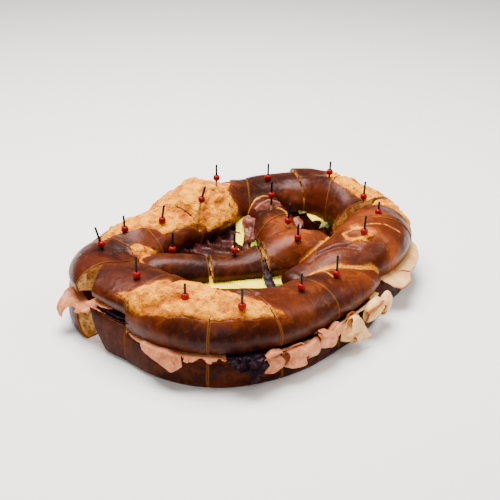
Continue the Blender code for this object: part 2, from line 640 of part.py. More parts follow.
def turned(profile, sides):
    """A closed turned solid about Z from rows of radius and height, with a point at each end."""
    mesh = bmesh.new()
    foot = mesh.verts.new((0.0, 0.0, profile[0][1]))
    head = mesh.verts.new((0.0, 0.0, profile[-1][1]))
    rings = []
    for radius, height in profile[1:-1]:
        rings.append([mesh.verts.new((radius * math.cos(turn), radius * math.sin(turn), height))
                      for turn in (2.0 * math.pi * index / sides for index in range(sides))])
    for index in range(sides):
        following = (index + 1) % sides
        mesh.faces.new((foot, rings[0][following], rings[0][index]))
        mesh.faces.new((head, rings[-1][index], rings[-1][following]))
        for low, high in zip(rings, rings[1:]):
            mesh.faces.new((low[index], low[following], high[following], high[index]))
    bmesh.ops.recalc_face_normals(mesh, faces=mesh.faces)
    return mesh


def pick_mesh():
    """Stem and bead in one turned solid."""
    bottom_end = -BEAD_HALF_HEIGHT - STEM_BELOW_BEAD
    top_end = BEAD_HALF_HEIGHT + STEM_ABOVE_BEAD
    profile = [(0.0, bottom_end), (STEM_RADIUS, bottom_end + STEM_POINT), (STEM_RADIUS, -BEAD_HALF_HEIGHT)]
    for degrees in (-48, 0, 48):
        turn = math.radians(degrees)
        profile.append((BEAD_RADIUS * math.cos(turn), BEAD_HALF_HEIGHT * math.sin(turn)))
    profile += [(STEM_RADIUS, BEAD_HALF_HEIGHT), (STEM_RADIUS, top_end - STEM_TIP), (0.0, top_end)]
    return turned([(radius * MM, height * MM) for radius, height in profile], PICK_SIDES)


def hole_mesh():
    """The hole that a pick makes, a little wider and deeper than its stem."""
    bottom_end = -BEAD_HALF_HEIGHT - STEM_BELOW_BEAD - HOLE_BELOW_STEM
    profile = [(0.0, bottom_end), (HOLE_RADIUS, bottom_end + 0.1),
               (HOLE_RADIUS, HOLE_ABOVE_BEAD), (0.0, HOLE_ABOVE_BEAD + 0.1)]
    return turned([(radius * MM, height * MM) for radius, height in profile], HOLE_SIDES)


def crosses(node, frame):
    """Whether a pick's axis goes through a node."""
    start = frame @ Vector((0.0, 0.0, HOLE_ABOVE_BEAD * MM))
    end = frame @ Vector((0.0, 0.0, -(BEAD_HALF_HEIGHT + STEM_BELOW_BEAD + 1.0) * MM))
    hit, _, _, _ = node.ray_cast(start, (end - start).normalized(), distance=(end - start).length)
    return hit


def build_picks(tops, food, finish):
    """The bead picks, and the holes that they make in the food."""
    frames = {row[0]: pick_frame(list(tops.values()), row) for row in PICKS}
    for number, frame in frames.items():
        for node in food:
            if crosses(node, frame):
                hole = hole_mesh()
                bmesh.ops.transform(hole, matrix=frame, verts=hole.verts)
                apply_boolean(node, hole, "DIFFERENCE")
        mesh = pick_mesh()
        bmesh.ops.transform(mesh, matrix=frame, verts=mesh.verts)
        add_object("pick_%02d" % number, mesh, finish)


def smooth(node):
    """Smooth shading with the cut edges left crisp."""
    node.data.shade_smooth()
    node.data.set_sharp_from_angle(angle=math.radians(35.0))


def build():
    """Model the whole pretzel."""
    for node in list(bpy.data.objects):
        bpy.data.objects.remove(node)
    crust_finish = material("dark_crust", (0.10, 0.030, 0.014), 0.35)
    under_finish = material("bottom_crust", (0.13, 0.040, 0.018), 0.45)
    pick_finish = material("pick_red_and_black", (0.55, 0.01, 0.015), 0.4)
    ham = material("pink_ham", (0.80, 0.42, 0.34), 0.4)
    turkey = material("pale_turkey", (0.82, 0.62, 0.48), 0.45)
    cheese = material("yellow_cheese", (0.85, 0.74, 0.25), 0.45)
    raw = material("raw_ham_red", (0.30, 0.08, 0.06), 0.4)
    dark_leaf = material("purple_lettuce", (0.02, 0.010, 0.018), 0.4)
    green_leaf = material("green_lettuce", (0.25, 0.40, 0.06), 0.4)
    finishes = {"ham_left": ham, "ham_front": ham, "ham_rolls": ham, "turkey_rolls": turkey,
                "turkey_right": turkey, "lettuce_dark": dark_leaf, "lettuce_green": green_leaf,
                "cheese_back": cheese, "cheese_front": cheese, "raw_ham": raw}
    tops = build_tops(crust_finish)
    bottoms = build_bottoms(under_finish)
    apply_boolean(bottoms["bottom_18"], roll(HAM_ROLLS[-1], PRESSED_GAP), "DIFFERENCE")
    fillings = build_fillings(finishes)
    food = list(tops.values()) + list(bottoms.values()) + list(fillings.values())
    build_picks(tops, food, pick_finish)
    for node in bpy.data.objects:
        smooth(node)


build()
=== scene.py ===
"""The looks of a filled lye pretzel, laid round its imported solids.

Rows of plan points are in millimetres, as in the part's own layout, and heights too; finished meshes
are in metres, with +Z up. The bread follows the same ropes, sections and knife lines as the solids.
A station is a distance along a rope. A share of the half width is above zero on a rope's outer side.
"""
import math

import bpy
import numpy as np
from mathutils import Matrix, Vector


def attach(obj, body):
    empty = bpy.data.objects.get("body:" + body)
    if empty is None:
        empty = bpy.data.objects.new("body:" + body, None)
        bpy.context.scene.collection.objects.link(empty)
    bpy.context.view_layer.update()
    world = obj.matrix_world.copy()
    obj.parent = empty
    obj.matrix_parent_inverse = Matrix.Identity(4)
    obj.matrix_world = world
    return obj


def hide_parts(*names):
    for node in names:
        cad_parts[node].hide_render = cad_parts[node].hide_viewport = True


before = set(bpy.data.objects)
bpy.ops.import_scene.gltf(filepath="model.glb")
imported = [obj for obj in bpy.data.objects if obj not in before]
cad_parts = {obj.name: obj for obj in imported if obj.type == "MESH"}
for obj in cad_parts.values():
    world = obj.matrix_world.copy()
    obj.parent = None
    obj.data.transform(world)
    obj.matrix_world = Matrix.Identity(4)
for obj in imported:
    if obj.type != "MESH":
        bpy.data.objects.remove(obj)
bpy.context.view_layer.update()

MM = 0.001
LAYOUT_MIDDLE = np.array((264.25, 180.62, 0.0))
BOTTOM_HEIGHT = 30.0
SEAT_HEIGHT = 38.0
CENTRE_BOTTOM_HEIGHT = 34.8
CRUST_SQUARENESS = 2.3
KNIFE_GAP = 0.5
FINE_STEPS = 24
PROFILE_STEPS = 16
TANGENT_REACH = 4.0
LINE_SLACK = 8.0
END_ROUNDING = 0.7
LEAST_CROWN = 6.0
SMALLEST_HALF = 0.02

# Search for the place where a rope meets a knife: steps along it, furthest reach, and values that rule a
# step out.
MEET_STEPS = 1200
MEET_REACH = 60.0
MISSED = 1e6
FAR = 1e9

# Search for the height of a rope over a place: steps along it, and reach along it.
OVER_STEPS = 160
OVER_REACH = 3.0

# Half width of a top half at its foot, as a share, and how much wider it grows above.
SEAT_SHARE = 0.93
SEAT_TUCK = 0.07

# Grid of a piece of bread: spacing along it, columns round its crust and across its seat, rings on a cut.
ROW_STEP = 1.1
LEAST_ROWS = 4
CRUST_COLUMNS = 104
SEAT_COLUMNS = 26
SIDE_COLUMNS = 30
FOOT_COLUMNS = 20
FACE_COLUMNS = 44
CUT_RINGS = 22

# Distances of the first rows from a cut or a loose end, and a distance that stands for no cut at all.
CUT_EDGE = (0.0, 0.3, 0.75, 1.4)
LOOSE_EDGE = (0.0, 0.12, 0.5, 1.4)
NO_CUT = 1e3

# How far a rim at a cut is rounded in, on top and bottom halves, the width of its pale line, and the height
# of the middle of a cut face, as a share.
CUT_ROUNDING = 0.35
BASE_ROUNDING = 0.5
RIM_WIDTH = 0.55
HEART_SHARE = 0.42

# Bubbles on a cut: their spacing, radii, how far small ones outnumber large ones, and depth.
PORE_SPACING = 5.6
SMALLEST_PORE = 1.1
LARGEST_PORE = 5.6
PORE_SKEW = 2.2
LEAST_PORES = 6
PORE_DEPTH = 0.75

# Layers of rough relief: height, length of the waves and shift of the noise.
SKIN_WAVES = ((0.55, 30.0, 0.3), (0.22, 8.0, 7.0))
BASE_WAVES = ((0.5, 26.0, 1.3), (0.2, 8.0, 4.4))
SEAT_WAVES = ((0.35, 4.0, 6.0),)
FACE_WAVES = ((0.5, 14.0, 9.0),)
DOUGH_WAVES = ((2.1, 15.0, 2.2),)
DOUGH_GRAIN = ((0.5, 3.0, 4.1),)

# Ridged layers of burst dough: height, level of the ridges, length and shift of the noise.
DOUGH_RIDGES = ((2.4, 0.35, 10.0, 3.3), (1.1, 0.3, 4.6, 8.3))

# Ragged border of a burst: reach, length and shift of the noise.
BURST_RAGS = ((0.7, 9.0, 1.0), (0.5, 3.1, 2.0))

# Lip of the crust along a burst: height, distance from the border and width.
BURST_LIP = (0.35, 1.2, 1.1)

# Wrinkles of the crust: height, length, how far they are drawn out along the rope, the width over which
# shares are spread, and the length of the patches in which they show.
WRINKLE_HEIGHT = 0.16
WRINKLE_LENGTH = 3.4
WRINKLE_STRETCH = 4.0
WRINKLE_WIDTH = 40.0
WRINKLE_PATCH = 34.0

# Pocks of burst dough: depth and length, and how far cut crumb lies under the plane of a seat or a cut.
PIT_DEPTH = 1.3
PIT_LENGTH = 3.6
SEAT_SINK = 0.25
CRUMB_SINK = 0.35
CRUMB_LENGTH = 2.4

# Grids of slices: spacing along a flap, columns on its hidden and its free part, rows and columns of others.
FLAP_STEP = 0.9
LEAST_FLAP_ROWS = 6
HIDDEN_COLUMNS = 10
FREE_COLUMNS = 36
LEAST_DROOP = 3.0
LEAST_REACH = 0.6
DRAPE_GRID = (40, 48)
PLACED_GRID = (44, 36)
CHEESE_STEPS = 60
ROLL_ROWS = 34
ROLL_TURN_STEPS = 46
ROLL_CRUMPLE = (1.4, 1.8, 1.8)
RIND_COLUMNS = 3

# Thickness of the slices that have none in their row.
FRONT_CHEESE_THICKNESS = 0.9
BACK_CHEESE_THICKNESS = 1.1
ROLL_THICKNESS = 1.5
CURED_THICKNESS = 1.1

# Each row: x, y, half width, top height.
RING_KEYS = (
    (312, 76, 28, 54), (290, 71, 31, 60), (262, 68, 32, 65), (232, 69, 34, 68),
    (200, 71, 36, 70), (168, 81, 39, 75), (138, 101, 42, 77), (119, 132, 42, 77),
    (115, 168, 42, 77), (111, 204, 42, 76), (112, 238, 42, 74), (128, 264, 41, 71),
    (156, 278, 40, 69), (190, 285, 39, 72), (225, 287, 38, 71), (255, 290, 41, 83),
    (290, 291, 42, 88), (318, 291, 38, 78), (350, 289, 36, 72), (384, 280, 36, 71),
    (413, 260, 36, 73), (430, 234, 38, 78), (434, 205, 40, 80), (430, 172, 41, 79),
    (417, 140, 42, 78), (392, 115, 43, 78), (355, 101, 42, 77), (316, 100, 36, 70),
    (284, 102, 28, 62), (256, 102, 20, 54),
)
CENTRE_ARM_KEYS = (
    (140, 232, 22, 60), (160, 226, 22, 63), (186, 209, 21, 61), (212, 190, 20, 57),
    (238, 173, 20, 57), (266, 161, 25, 66), (294, 153, 29, 73), (320, 141, 28, 67),
)
INNER_ARM_KEYS = (
    (354, 256, 24, 62), (340, 228, 26, 64), (322, 202, 27, 64), (304, 178, 27, 62), (288, 160, 26, 54),
)

# Knife lines in plan, each through an outer and an inner point.
CUT_20_19 = ((239, 28), (237, 112))
CUT_19_18 = ((163, 40), (171, 120))
CUT_18_17 = ((98, 76), (152, 118))
CUT_17_16 = ((70, 166), (160, 174))
CUT_16_END = ((60, 240.3), (149, 235.3))
CUT_BASE_16_END = ((60, 219), (149, 233))
CUT_1_START = ((60, 242), (149, 237))
CUT_BASE_1_START = ((60, 250), (149, 228))
CUT_1_2 = ((138, 322), (156, 236))
CUT_2_3 = ((176, 330), (190, 240))
CUT_3_4 = ((218, 335), (252, 240))
CUT_4_5 = ((292, 335), (289, 235))
CUT_5_6 = ((392, 328), (330, 255))
CUT_6_8 = ((440, 300), (394, 226))
CUT_8_9 = ((480, 234), (388, 188))
CUT_9_END = ((478, 153), (382, 151))
CUT_10_START = ((478, 147), (382, 144))
CUT_10_11 = ((420, 74), (354, 130))
CUT_11_13 = ((322, 138), (250, 86))
CUT_13_START = ((271, 179), (249, 142))
CUT_14_END = ((265, 183), (243, 146))
CUT_14_START = ((218, 205), (198, 176))
CUT_15_END = ((215, 207), (195, 178))
CUT_12_7 = ((286, 205), (344, 206))

# Top halves: piece, number of the portion, rope, knife line at the first and the last end, lift and growth.
TOPS = (
    ("crust_20", 20, "ring", None, CUT_20_19, 0.0, 0.0),
    ("crust_19", 19, "ring", CUT_20_19, CUT_19_18, 0.0, 0.6),
    ("crust_18", 18, "ring", CUT_19_18, CUT_18_17, 0.0, 0.0),
    ("crust_17", 17, "ring", CUT_18_17, CUT_17_16, 0.0, 0.8),
    ("crust_16", 16, "ring", CUT_17_16, CUT_16_END, 0.0, 0.0),
    ("crust_01", 1, "ring", CUT_1_START, CUT_1_2, 0.0, 0.0),
    ("crust_02", 2, "ring", CUT_1_2, CUT_2_3, 0.0, 0.6),
    ("crust_03", 3, "ring", CUT_2_3, CUT_3_4, 0.0, 0.0),
    ("crust_04", 4, "ring", CUT_3_4, CUT_4_5, 0.0, 1.2),
    ("crust_05", 5, "ring", CUT_4_5, CUT_5_6, 0.0, -1.0),
    ("crust_06", 6, "ring", CUT_5_6, CUT_6_8, 0.0, 0.0),
    ("crust_08", 8, "ring", CUT_6_8, CUT_8_9, 2.5, 1.2),
    ("crust_09", 9, "ring", CUT_8_9, CUT_9_END, 1.0, 1.0),
    ("crust_10", 10, "ring", CUT_10_START, CUT_10_11, 0.0, 0.4),
    ("crust_11", 11, "ring", CUT_10_11, CUT_11_13, 0.0, 0.0),
    ("crust_13_tail", 13, "ring", CUT_11_13, None, 0.0, 0.0),
    ("crust_13_arm", 13, "centre", CUT_13_START, None, 0.0, 0.0),
    ("crust_14", 14, "centre", CUT_14_START, CUT_14_END, 0.0, 0.6),
    ("crust_15", 15, "centre", None, CUT_15_END, 0.0, 0.0),
    ("crust_07", 7, "inner", None, CUT_12_7, 0.0, 0.0),
    ("crust_12", 12, "inner", CUT_12_7, None, 0.0, -0.8),
)

# Bottom halves: piece, node that it stands for, rope, knife line at the first and the last end, height.
BOTTOMS = (
    ("base_20", "bottom_20", "ring", None, CUT_20_19, BOTTOM_HEIGHT),
    ("base_19", "bottom_19", "ring", CUT_20_19, CUT_19_18, BOTTOM_HEIGHT),
    ("base_18", "bottom_18", "ring", CUT_19_18, CUT_18_17, BOTTOM_HEIGHT),
    ("base_17", "bottom_17", "ring", CUT_18_17, CUT_17_16, BOTTOM_HEIGHT),
    ("base_16", "bottom_16", "ring", CUT_17_16, CUT_BASE_16_END, BOTTOM_HEIGHT),
    ("base_01", "bottom_01", "ring", CUT_BASE_1_START, CUT_1_2, BOTTOM_HEIGHT),
    ("base_02", "bottom_02_to_05", "ring", CUT_1_2, CUT_2_3, BOTTOM_HEIGHT),
    ("base_03", "bottom_02_to_05", "ring", CUT_2_3, CUT_3_4, BOTTOM_HEIGHT),
    ("base_04", "bottom_02_to_05", "ring", CUT_3_4, CUT_4_5, BOTTOM_HEIGHT),
    ("base_05", "bottom_02_to_05", "ring", CUT_4_5, CUT_5_6, BOTTOM_HEIGHT),
    ("base_06", "bottom_06_to_09", "ring", CUT_5_6, CUT_6_8, BOTTOM_HEIGHT),
    ("base_08", "bottom_06_to_09", "ring", CUT_6_8, CUT_8_9, BOTTOM_HEIGHT),
    ("base_09", "bottom_06_to_09", "ring", CUT_8_9, CUT_9_END, BOTTOM_HEIGHT),
    ("base_10", "bottom_10_to_11", "ring", CUT_10_START, CUT_10_11, BOTTOM_HEIGHT),
    ("base_11", "bottom_10_to_11", "ring", CUT_10_11, None, BOTTOM_HEIGHT),
    ("base_15", "bottom_12_to_15", "centre", None, CUT_15_END, CENTRE_BOTTOM_HEIGHT),
    ("base_14", "bottom_12_to_15", "centre", CUT_14_START, CUT_14_END, CENTRE_BOTTOM_HEIGHT),
    ("base_13", "bottom_12_to_15", "centre", CUT_13_START, None, CENTRE_BOTTOM_HEIGHT),
    ("base_07", "bottom_12_to_15", "inner", None, CUT_12_7, BOTTOM_HEIGHT),
    ("base_12", "bottom_12_to_15", "inner", CUT_12_7, None, BOTTOM_HEIGHT),
)

# Extra height of the slice along the outer edge of a piece, at its first and its last end.
EDGE_LIFTS = {
    "crust_16": (16.0, 22.0), "crust_01": (11.0, 0.0), "base_16": (12.0, 13.0), "base_17": (0.0, 4.0),
}

# How far the last end of a bottom half slants back at its foot, and the first end forward.
END_SLANTS = {"base_16": 27.0}
START_SLANTS = {"base_01": 11.0}

# A second knife line that also cuts the last end of a top half.
SECOND_KNIFE = {"crust_16": ((60, 206), (104, 239.5))}

# Rise of a top half's outer side at its first end, with as much fall of its inner side.
TILTS = {"crust_08": 3.0, "crust_10": 3.0}

# How far the crown of a top half drops towards its last end.
END_DROPS = {"crust_16": 5.0}

# How far the inner side of a top half is moved towards the outer side, at its first and its last end.
INNER_SHIFTS = {"crust_09": (0.0, -7.0), "crust_10": (4.0, 0.0)}

# Side of a bottom half from its cut rim down to its base, as shares of half width and height.
BASE_SIDE = ((0.955, 1.0), (0.985, 0.9), (1.015, 0.72), (1.035, 0.48), (1.03, 0.26), (0.995, 0.09),
             (0.93, 0.0))
PRESSED_SIDE = ((0.70, 1.0), (0.84, 0.8), (0.96, 0.56), (1.01, 0.38), (1.03, 0.22), (0.995, 0.08),
                (0.93, 0.0))
PRESSED = ("base_19", "base_20")

# Burst lobes and hollows of the crust: x, y, radius and rise in millimetres.
SWELLS = (
    (134, 134, 17, 3.0), (122, 112, 12, -2.0), (160, 92, 16, 2.0), (206, 292, 17, 3.0), (248, 284, 20, 5.0),
    (288, 262, 18, 5.0), (278, 273, 7, -5.0), (344, 116, 13, 3.0), (366, 96, 15, 2.0), (130, 244, 21, -7.0),
    (178, 276, 12, 2.5), (306, 128, 12, 2.0), (343, 236, 13, -7.0), (418, 150, 24, -9.0),
)

# Lobes that bulge outwards along the surface: x, y, z, radius and amount.
BULGES = (
    (272, 246, 46, 19, 11.0), (254, 126, 46, 18, 7.0), (298, 255, 60, 16, 4.0), (226, 254, 56, 18, 2.5),
    (300, 100, 60, 16, 2.0),
)

# Creases: path in plan, half width and depth.
CREASES = (
    (((279, 276), (268, 271), (260, 265), (255, 260), (250, 257), (247, 252)), 2.2, 4.0),
    (((246, 306), (236, 300), (226, 296), (214, 296)), 3.5, 2.0),
    (((100, 120), (108, 128), (112, 122), (118, 108), (124, 98)), 3.0, 1.4),
    (((204, 300), (212, 284), (222, 274)), 3.0, 1.6),
    (((101, 150), (112, 154), (122, 155), (138, 152), (148, 139), (151, 125), (146, 113)), 3.4, 4.0),
    (((82, 149), (88, 138), (99, 133), (110, 123), (118, 111)), 3.2, 3.4),
    (((112, 135), (124, 131), (132, 121)), 2.8, 2.8),
    (((238, 250), (246, 252), (257, 256.5), (271, 263), (283, 267), (296, 265)), 4.2, 5.0),
    (((145, 101), (157, 94), (168, 83)), 3.0, 2.8),
    (((440, 236), (452, 214), (456, 190), (452, 162), (442, 132), (428, 104)), 18.5, 7.5),
    (((275, 111), (289, 110), (298, 106), (308, 101), (316, 93), (322, 84)), 2.4, 1.8),
)

# Ledges: path in plan, width of the raised strip on its left, or less than zero on its right, and its rise.
LEDGES = (
    (((80, 182), (85, 174), (90, 167), (98, 156), (104, 149), (111, 139), (121, 124), (130, 113), (141, 107)),
     -15.0, 3.2),
    (((342, 300), (338, 294), (322, 282), (312, 272), (309, 266), (312, 259)), 14.0, 3.0),
    (((420, 212), (418, 203), (415.5, 186), (415, 174), (416.5, 164), (416.5, 152), (416, 140)), -16.0, 2.2),
    (((198, 256), (208, 257), (220, 258), (232, 257), (246, 253)), -12.0, 1.6),
    (((160, 280), (168, 276), (176, 273), (186, 269.5), (194, 266)), -12.0, 1.4),
    (((292, 112), (300, 108), (309, 104), (317, 96), (330, 90), (345, 84)), 14.0, 1.2),
)

# Thin pale tears in the crust: path in plan and half width.
TEARS = (
    (((358, 103), (365, 97), (371, 93)), 0.8), (((375, 91), (381, 85), (387, 78)), 0.7),
    (((128, 300), (150, 306), (168, 309)), 0.8), (((262, 66), (268, 84), (276, 96)), 0.6),
    (((348, 227), (347, 220), (345, 211), (341, 203)), 1.3),
)

# Places where the crust baked lighter: x, y, radius and amount.
WARM = (
    (300, 148, 22, 0.9), (268, 150, 14, 0.6), (285, 72, 26, 0.55), (350, 112, 26, 0.5), (390, 112, 24, 0.55),
    (330, 290, 10, 0.4), (358, 64, 14, 0.9), (322, 190, 22, 0.6), (440, 180, 20, 0.3), (218, 60, 26, 0.25),
    (372, 150, 16, 0.5),
)

# Outlines in plan of the places where the crust has burst open.
BURSTS = (
    ((77, 186), (77, 171), (77, 157), (79, 148), (82, 137), (88, 122), (96, 110), (101, 102), (108, 89),
     (115, 83), (122, 77), (133, 69), (145, 61), (159, 55), (168, 51), (175, 48), (172, 54), (168, 60),
     (165, 70), (158, 81), (154, 90), (151, 101), (149, 112), (146, 124), (142, 134), (135, 146), (124, 159),
     (107, 166), (92, 174), (86, 179), (80, 184)),
    ((128, 279), (140, 285), (150, 283.5), (160, 280), (168, 276), (176, 273), (186, 269.5), (193, 267.5),
     (196.5, 264), (198.5, 257), (208, 257), (220, 258), (232, 257), (244, 254.5), (248, 252), (253, 250.5),
     (256, 245), (275, 243), (292, 245), (301, 250), (308, 254), (313, 258.5), (312, 260), (308.5, 263),
     (309, 268), (313, 274), (322, 282), (332, 290), (338, 294), (340, 306), (336, 318), (322, 325),
     (300, 327), (270, 328), (240, 324), (215, 321), (190, 318), (165, 310), (146, 298), (132, 286)),
    ((329, 113), (334, 112), (339, 109), (346, 116), (352, 109), (353, 98), (355, 93), (357, 86), (347, 84),
     (340, 86), (338, 80), (334, 88), (325, 93), (323, 102)),
    ((424, 216), (418, 203), (415.5, 186), (415, 174), (416.5, 164), (416.5, 152), (418, 141), (427, 133),
     (432, 126), (434, 112), (431, 99), (424, 88), (416, 80), (424, 76), (442, 92), (462, 120), (474, 150),
     (480, 186), (480, 216), (470, 236), (446, 236)),
    ((149, 248), (152, 257), (161, 259), (167, 254), (175, 251), (181, 247), (173, 243), (166, 240),
     (161, 232), (155, 237), (151, 243)),
)

# Height below which the crust never bursts, and a place where that limit is higher: x, y, radius and rise.
BURST_FLOOR = 46.0
BURST_SHOULDER = (276, 244, 26, 12.0)

# Creases narrower than this get painted shade where the crust has burst.
NARROW_CREASE = 6.0

# A patch of crust left whole inside a burst.
KEPT_CRUST = ((331, 110), (336, 108), (341, 105), (346, 99), (341, 93), (334, 95), (329, 100))

# Stretches of rope that a seam can lie against: rope, first and last station.
SEAM_ROPES = {
    "ring_head": ("ring", -19.0, 74.0), "ring_tail": ("ring", 842.0, 970.0),
    "ring_side": ("ring", 260.0, 420.0), "ring_back": ("ring", 520.0, 700.0),
    "centre": ("centre", -14.0, 215.0),
}

# Torn seams where one rope rests on another: piece, stretch that it meets, half width and strength.
SEAMS = (
    ("crust_13_arm", "ring_tail", 2.6, 1.0), ("crust_13_tail", "centre", 2.2, 0.8),
    ("crust_11", "ring_head", 3.0, 1.0), ("crust_13_tail", "ring_head", 3.2, 0.8),
    ("crust_20", "ring_tail", 2.6, 1.0), ("crust_12", "centre", 2.0, 0.8),
    ("crust_15", "ring_side", 2.6, 0.7), ("crust_16", "centre", 1.5, 0.4),
    ("crust_07", "ring_back", 3.2, 0.9),
)

# Ruffled layers: piece, node, slot, level, inset, ruffle, wave, thickness, seed, and edge rows of station,
# reach and droop.
FLAPS = (
    ("ham_fold_left", "ham_left", "cooked_ham", 36.0, 12.0, 3.0, 8.0, 1.3, 2.4,
     ((308, -1, 10), (313, 3, 50), (317, 6, 100), (321, 5, 110), (326, 2, 60), (332, -1, 10))),
    ("ham_slice_16", "ham_left", "cooked_ham", 52.0, 14.0, 3.4, 9.0, 1.4, 3.1,
     ((279, -5, 5), (285, -2, 20), (291, -1, 35), (297, -2, 30), (303, -5, 5))),
    ("ham_slice_under_16", "ham_left", "cooked_ham", 45.0, 14.0, 1.6, 12.0, 1.4, 3.7,
     ((262, -4, 5), (275, -3, 10), (292, -2, 15), (304, -1, 30), (312, -2, 10))),
    ("ham_slice_back", "ham_left", "cooked_ham", 33.0, 12.0, 2.2, 22.0, 1.3, 4.2,
     ((345, -1, 5), (357, 0, 5), (380, 2, 10), (400, 4, 25), (430, 5, 25), (455, -1, 5))),
    ("ham_slice_front", "ham_front", "cooked_ham", 34.4, 12.0, 1.2, 13.0, 1.3, 5.5,
     ((158, -3, 5), (190, -2, 10), (220, -1, 20), (240, 0, 25), (256, -3, 5))),
    ("ham_bits_front", "ham_front", "cooked_ham", 35.4, 10.0, 2.4, 6.5, 1.2, 6.9,
     ((181, -3, 10), (184, 3, 60), (187, 6, 80), (190, 3, 50), (193, -1, 20), (197, 5, 75), (201, 7, 80),
      (205, 2, 40), (208, -3, 10))),
    ("ham_shreds_front", "ham_front", "cooked_ham", 33.8, 10.0, 2.2, 4.6, 1.0, 6.3,
     ((158, -4, 10), (161, 4, 60), (164, 7, 75), (167, 1, 30), (170, -3, 10), (173, 3, 60), (176, -2, 20),
      (179, 2, 50), (182, -3, 10))),
    ("ham_under_rolls", "ham_rolls", "cooked_ham", 33.4, 12.0, 1.6, 15.0, 1.3, 7.1,
     ((80, 0, 20), (148, 0, 20))),
    ("turkey_under_rolls", "turkey_rolls", "turkey", 33.4, 12.0, 1.6, 17.0, 1.3, 8.2,
     ((5, 1, 30), (73, 1, 30))),
    ("turkey_slice_right", "turkey_right", "turkey", 34.0, 12.0, 0.8, 34.0, 1.6, 9.4,
     ((844, 4, 15), (850, 13, 40), (858, 19, 52), (866, 20, 56), (872, 15, 50), (876, 5, 25))),
    ("turkey_slice_back", "turkey_right", "turkey", 35.0, 12.0, 1.0, 30.0, 1.6, 10.3,
     ((790, -2, 5), (800, 2, 25), (812, 7, 45), (826, 11, 52), (838, 12, 54), (848, 10, 45), (856, 2, 20))),
    ("turkey_slice_far", "turkey_right", "turkey", 32.6, 12.0, 1.4, 40.0, 1.3, 11.7,
     ((602, -3, 5), (650, -1, 5), (700, -2, 5), (750, 0, 5), (786, -2, 5))),
    ("lettuce_bunch_low", "lettuce_dark", "lettuce_dark", 34.0, 8.0, 4.2, 8.5, 0.8, 12.1,
     ((148, 2, 30), (152, 12, 70), (157, 22, 84), (163, 24, 86), (168, 15, 80), (172, 8, 60), (176, 2, 20))),
    ("lettuce_bunch_high", "lettuce_dark", "lettuce_dark", 36.2, 8.0, 4.4, 7.0, 0.8, 13.6,
     ((150, 4, 30), (156, 10, 60), (163, 14, 75), (168, 15, 88), (173, 9, 75), (178, 2, 30))),
    ("lettuce_left", "lettuce_dark", "lettuce_dark", 50.0, 14.0, 4.6, 8.0, 0.8, 14.2,
     ((252, -4, 10), (260, -1, 30), (268, 0, 40), (278, -1, 40), (287, -2, 30), (294, -4, 10))),
    ("lettuce_left_low", "lettuce_dark", "lettuce_dark", 46.5, 14.0, 4.2, 6.5, 0.8, 15.8,
     ((246, -4, 10), (256, -1, 40), (266, 1, 50), (276, 1, 50), (286, -1, 30), (298, -3, 10))),
    ("lettuce_front_edge", "lettuce_dark", "lettuce_dark", 35.4, 8.0, 1.2, 9.0, 0.7, 16.4,
     ((22, -2, 5), (60, -1, 10), (100, 0, 20), (150, -2, 5))),
    ("lettuce_green_edge", "lettuce_green", "lettuce_green", 35.6, 8.0, 1.4, 11.0, 0.7, 17.2,
     ((545, -3, 5), (600, -2, 5), (660, -3, 5), (740, -1, 5), (780, -8, 5), (864, -11, 5))),
)

# Draped slices: piece, node, slot, thickness, and rows from the hidden edge out to the free edge of station,
# distance past the side and height.
DRAPES = (
    ("ham_drape_left", "ham_left", "cooked_ham", 1.5, (
        ((345, -14, 34), (339, -14, 35), (333, -14, 34), (326, -14, 35), (319, -14, 34)),
        ((343, 0, 35), (338, 1, 36.5), (333, 0, 34), (328, 1, 36), (322, 0, 34)),
        ((337, 6, 32), (335, 7, 34), (332, 6, 31.5), (329, 7.5, 33), (326, 6, 30.5)),
        ((334, 11, 28), (332.5, 12, 30), (330.5, 11, 27.5), (328.5, 12.5, 28.5), (326.5, 11, 26)),
        ((332, 14, 24), (331, 15.5, 24.5), (329.5, 15, 21.5), (328, 15.5, 21), (326, 14, 20.5)))),
    ("ham_slice_hanging", "ham_front", "cooked_ham", 1.5, (
        ((234, -9, 34.5), (228, -9, 35), (222, -9, 34.5), (215, -9, 35), (209, -9, 34.5), (205.5, -9, 34.5)),
        ((233, 1.5, 36.5), (227, 2, 37), (221, 2, 36.5), (214.5, 2.5, 37), (209, 2.5, 36), (205.5, 2, 35.5)),
        ((232, 4, 34.5), (226, 5, 34), (220, 5.5, 32.5), (213.5, 6, 32), (208.5, 6.5, 32), (204.5, 6.5, 33)),
        ((231, 4.6, 33), (225, 6, 30), (219, 7, 27.5), (213.5, 8, 25), (208.5, 8.5, 24.5), (204, 8, 29)),
        ((230.5, 5, 32), (224.5, 6.5, 29), (218.5, 7.5, 25.5), (213.5, 8.5, 22.5), (210, 9, 20.5),
         (204.5, 8.5, 27)))),
    ("turkey_tail", "turkey_rolls", "turkey", 1.3, (
        ((72, -4, 33), (66, -4, 34), (60, -4, 34), (54, -4, 33), (49, -4, 32)),
        ((74, 4, 27), (68, 5, 26.5), (61, 7, 26), (54, 9, 25), (48, 10, 24)),
        ((77, 7, 22), (70, 8, 19.5), (62, 10.5, 17.5), (53, 13, 16), (45, 14, 15)),
        ((79, 8, 19.5), (71, 9.5, 16), (62, 12.5, 14), (51, 15.5, 11.5), (42, 16.5, 10)))),
)

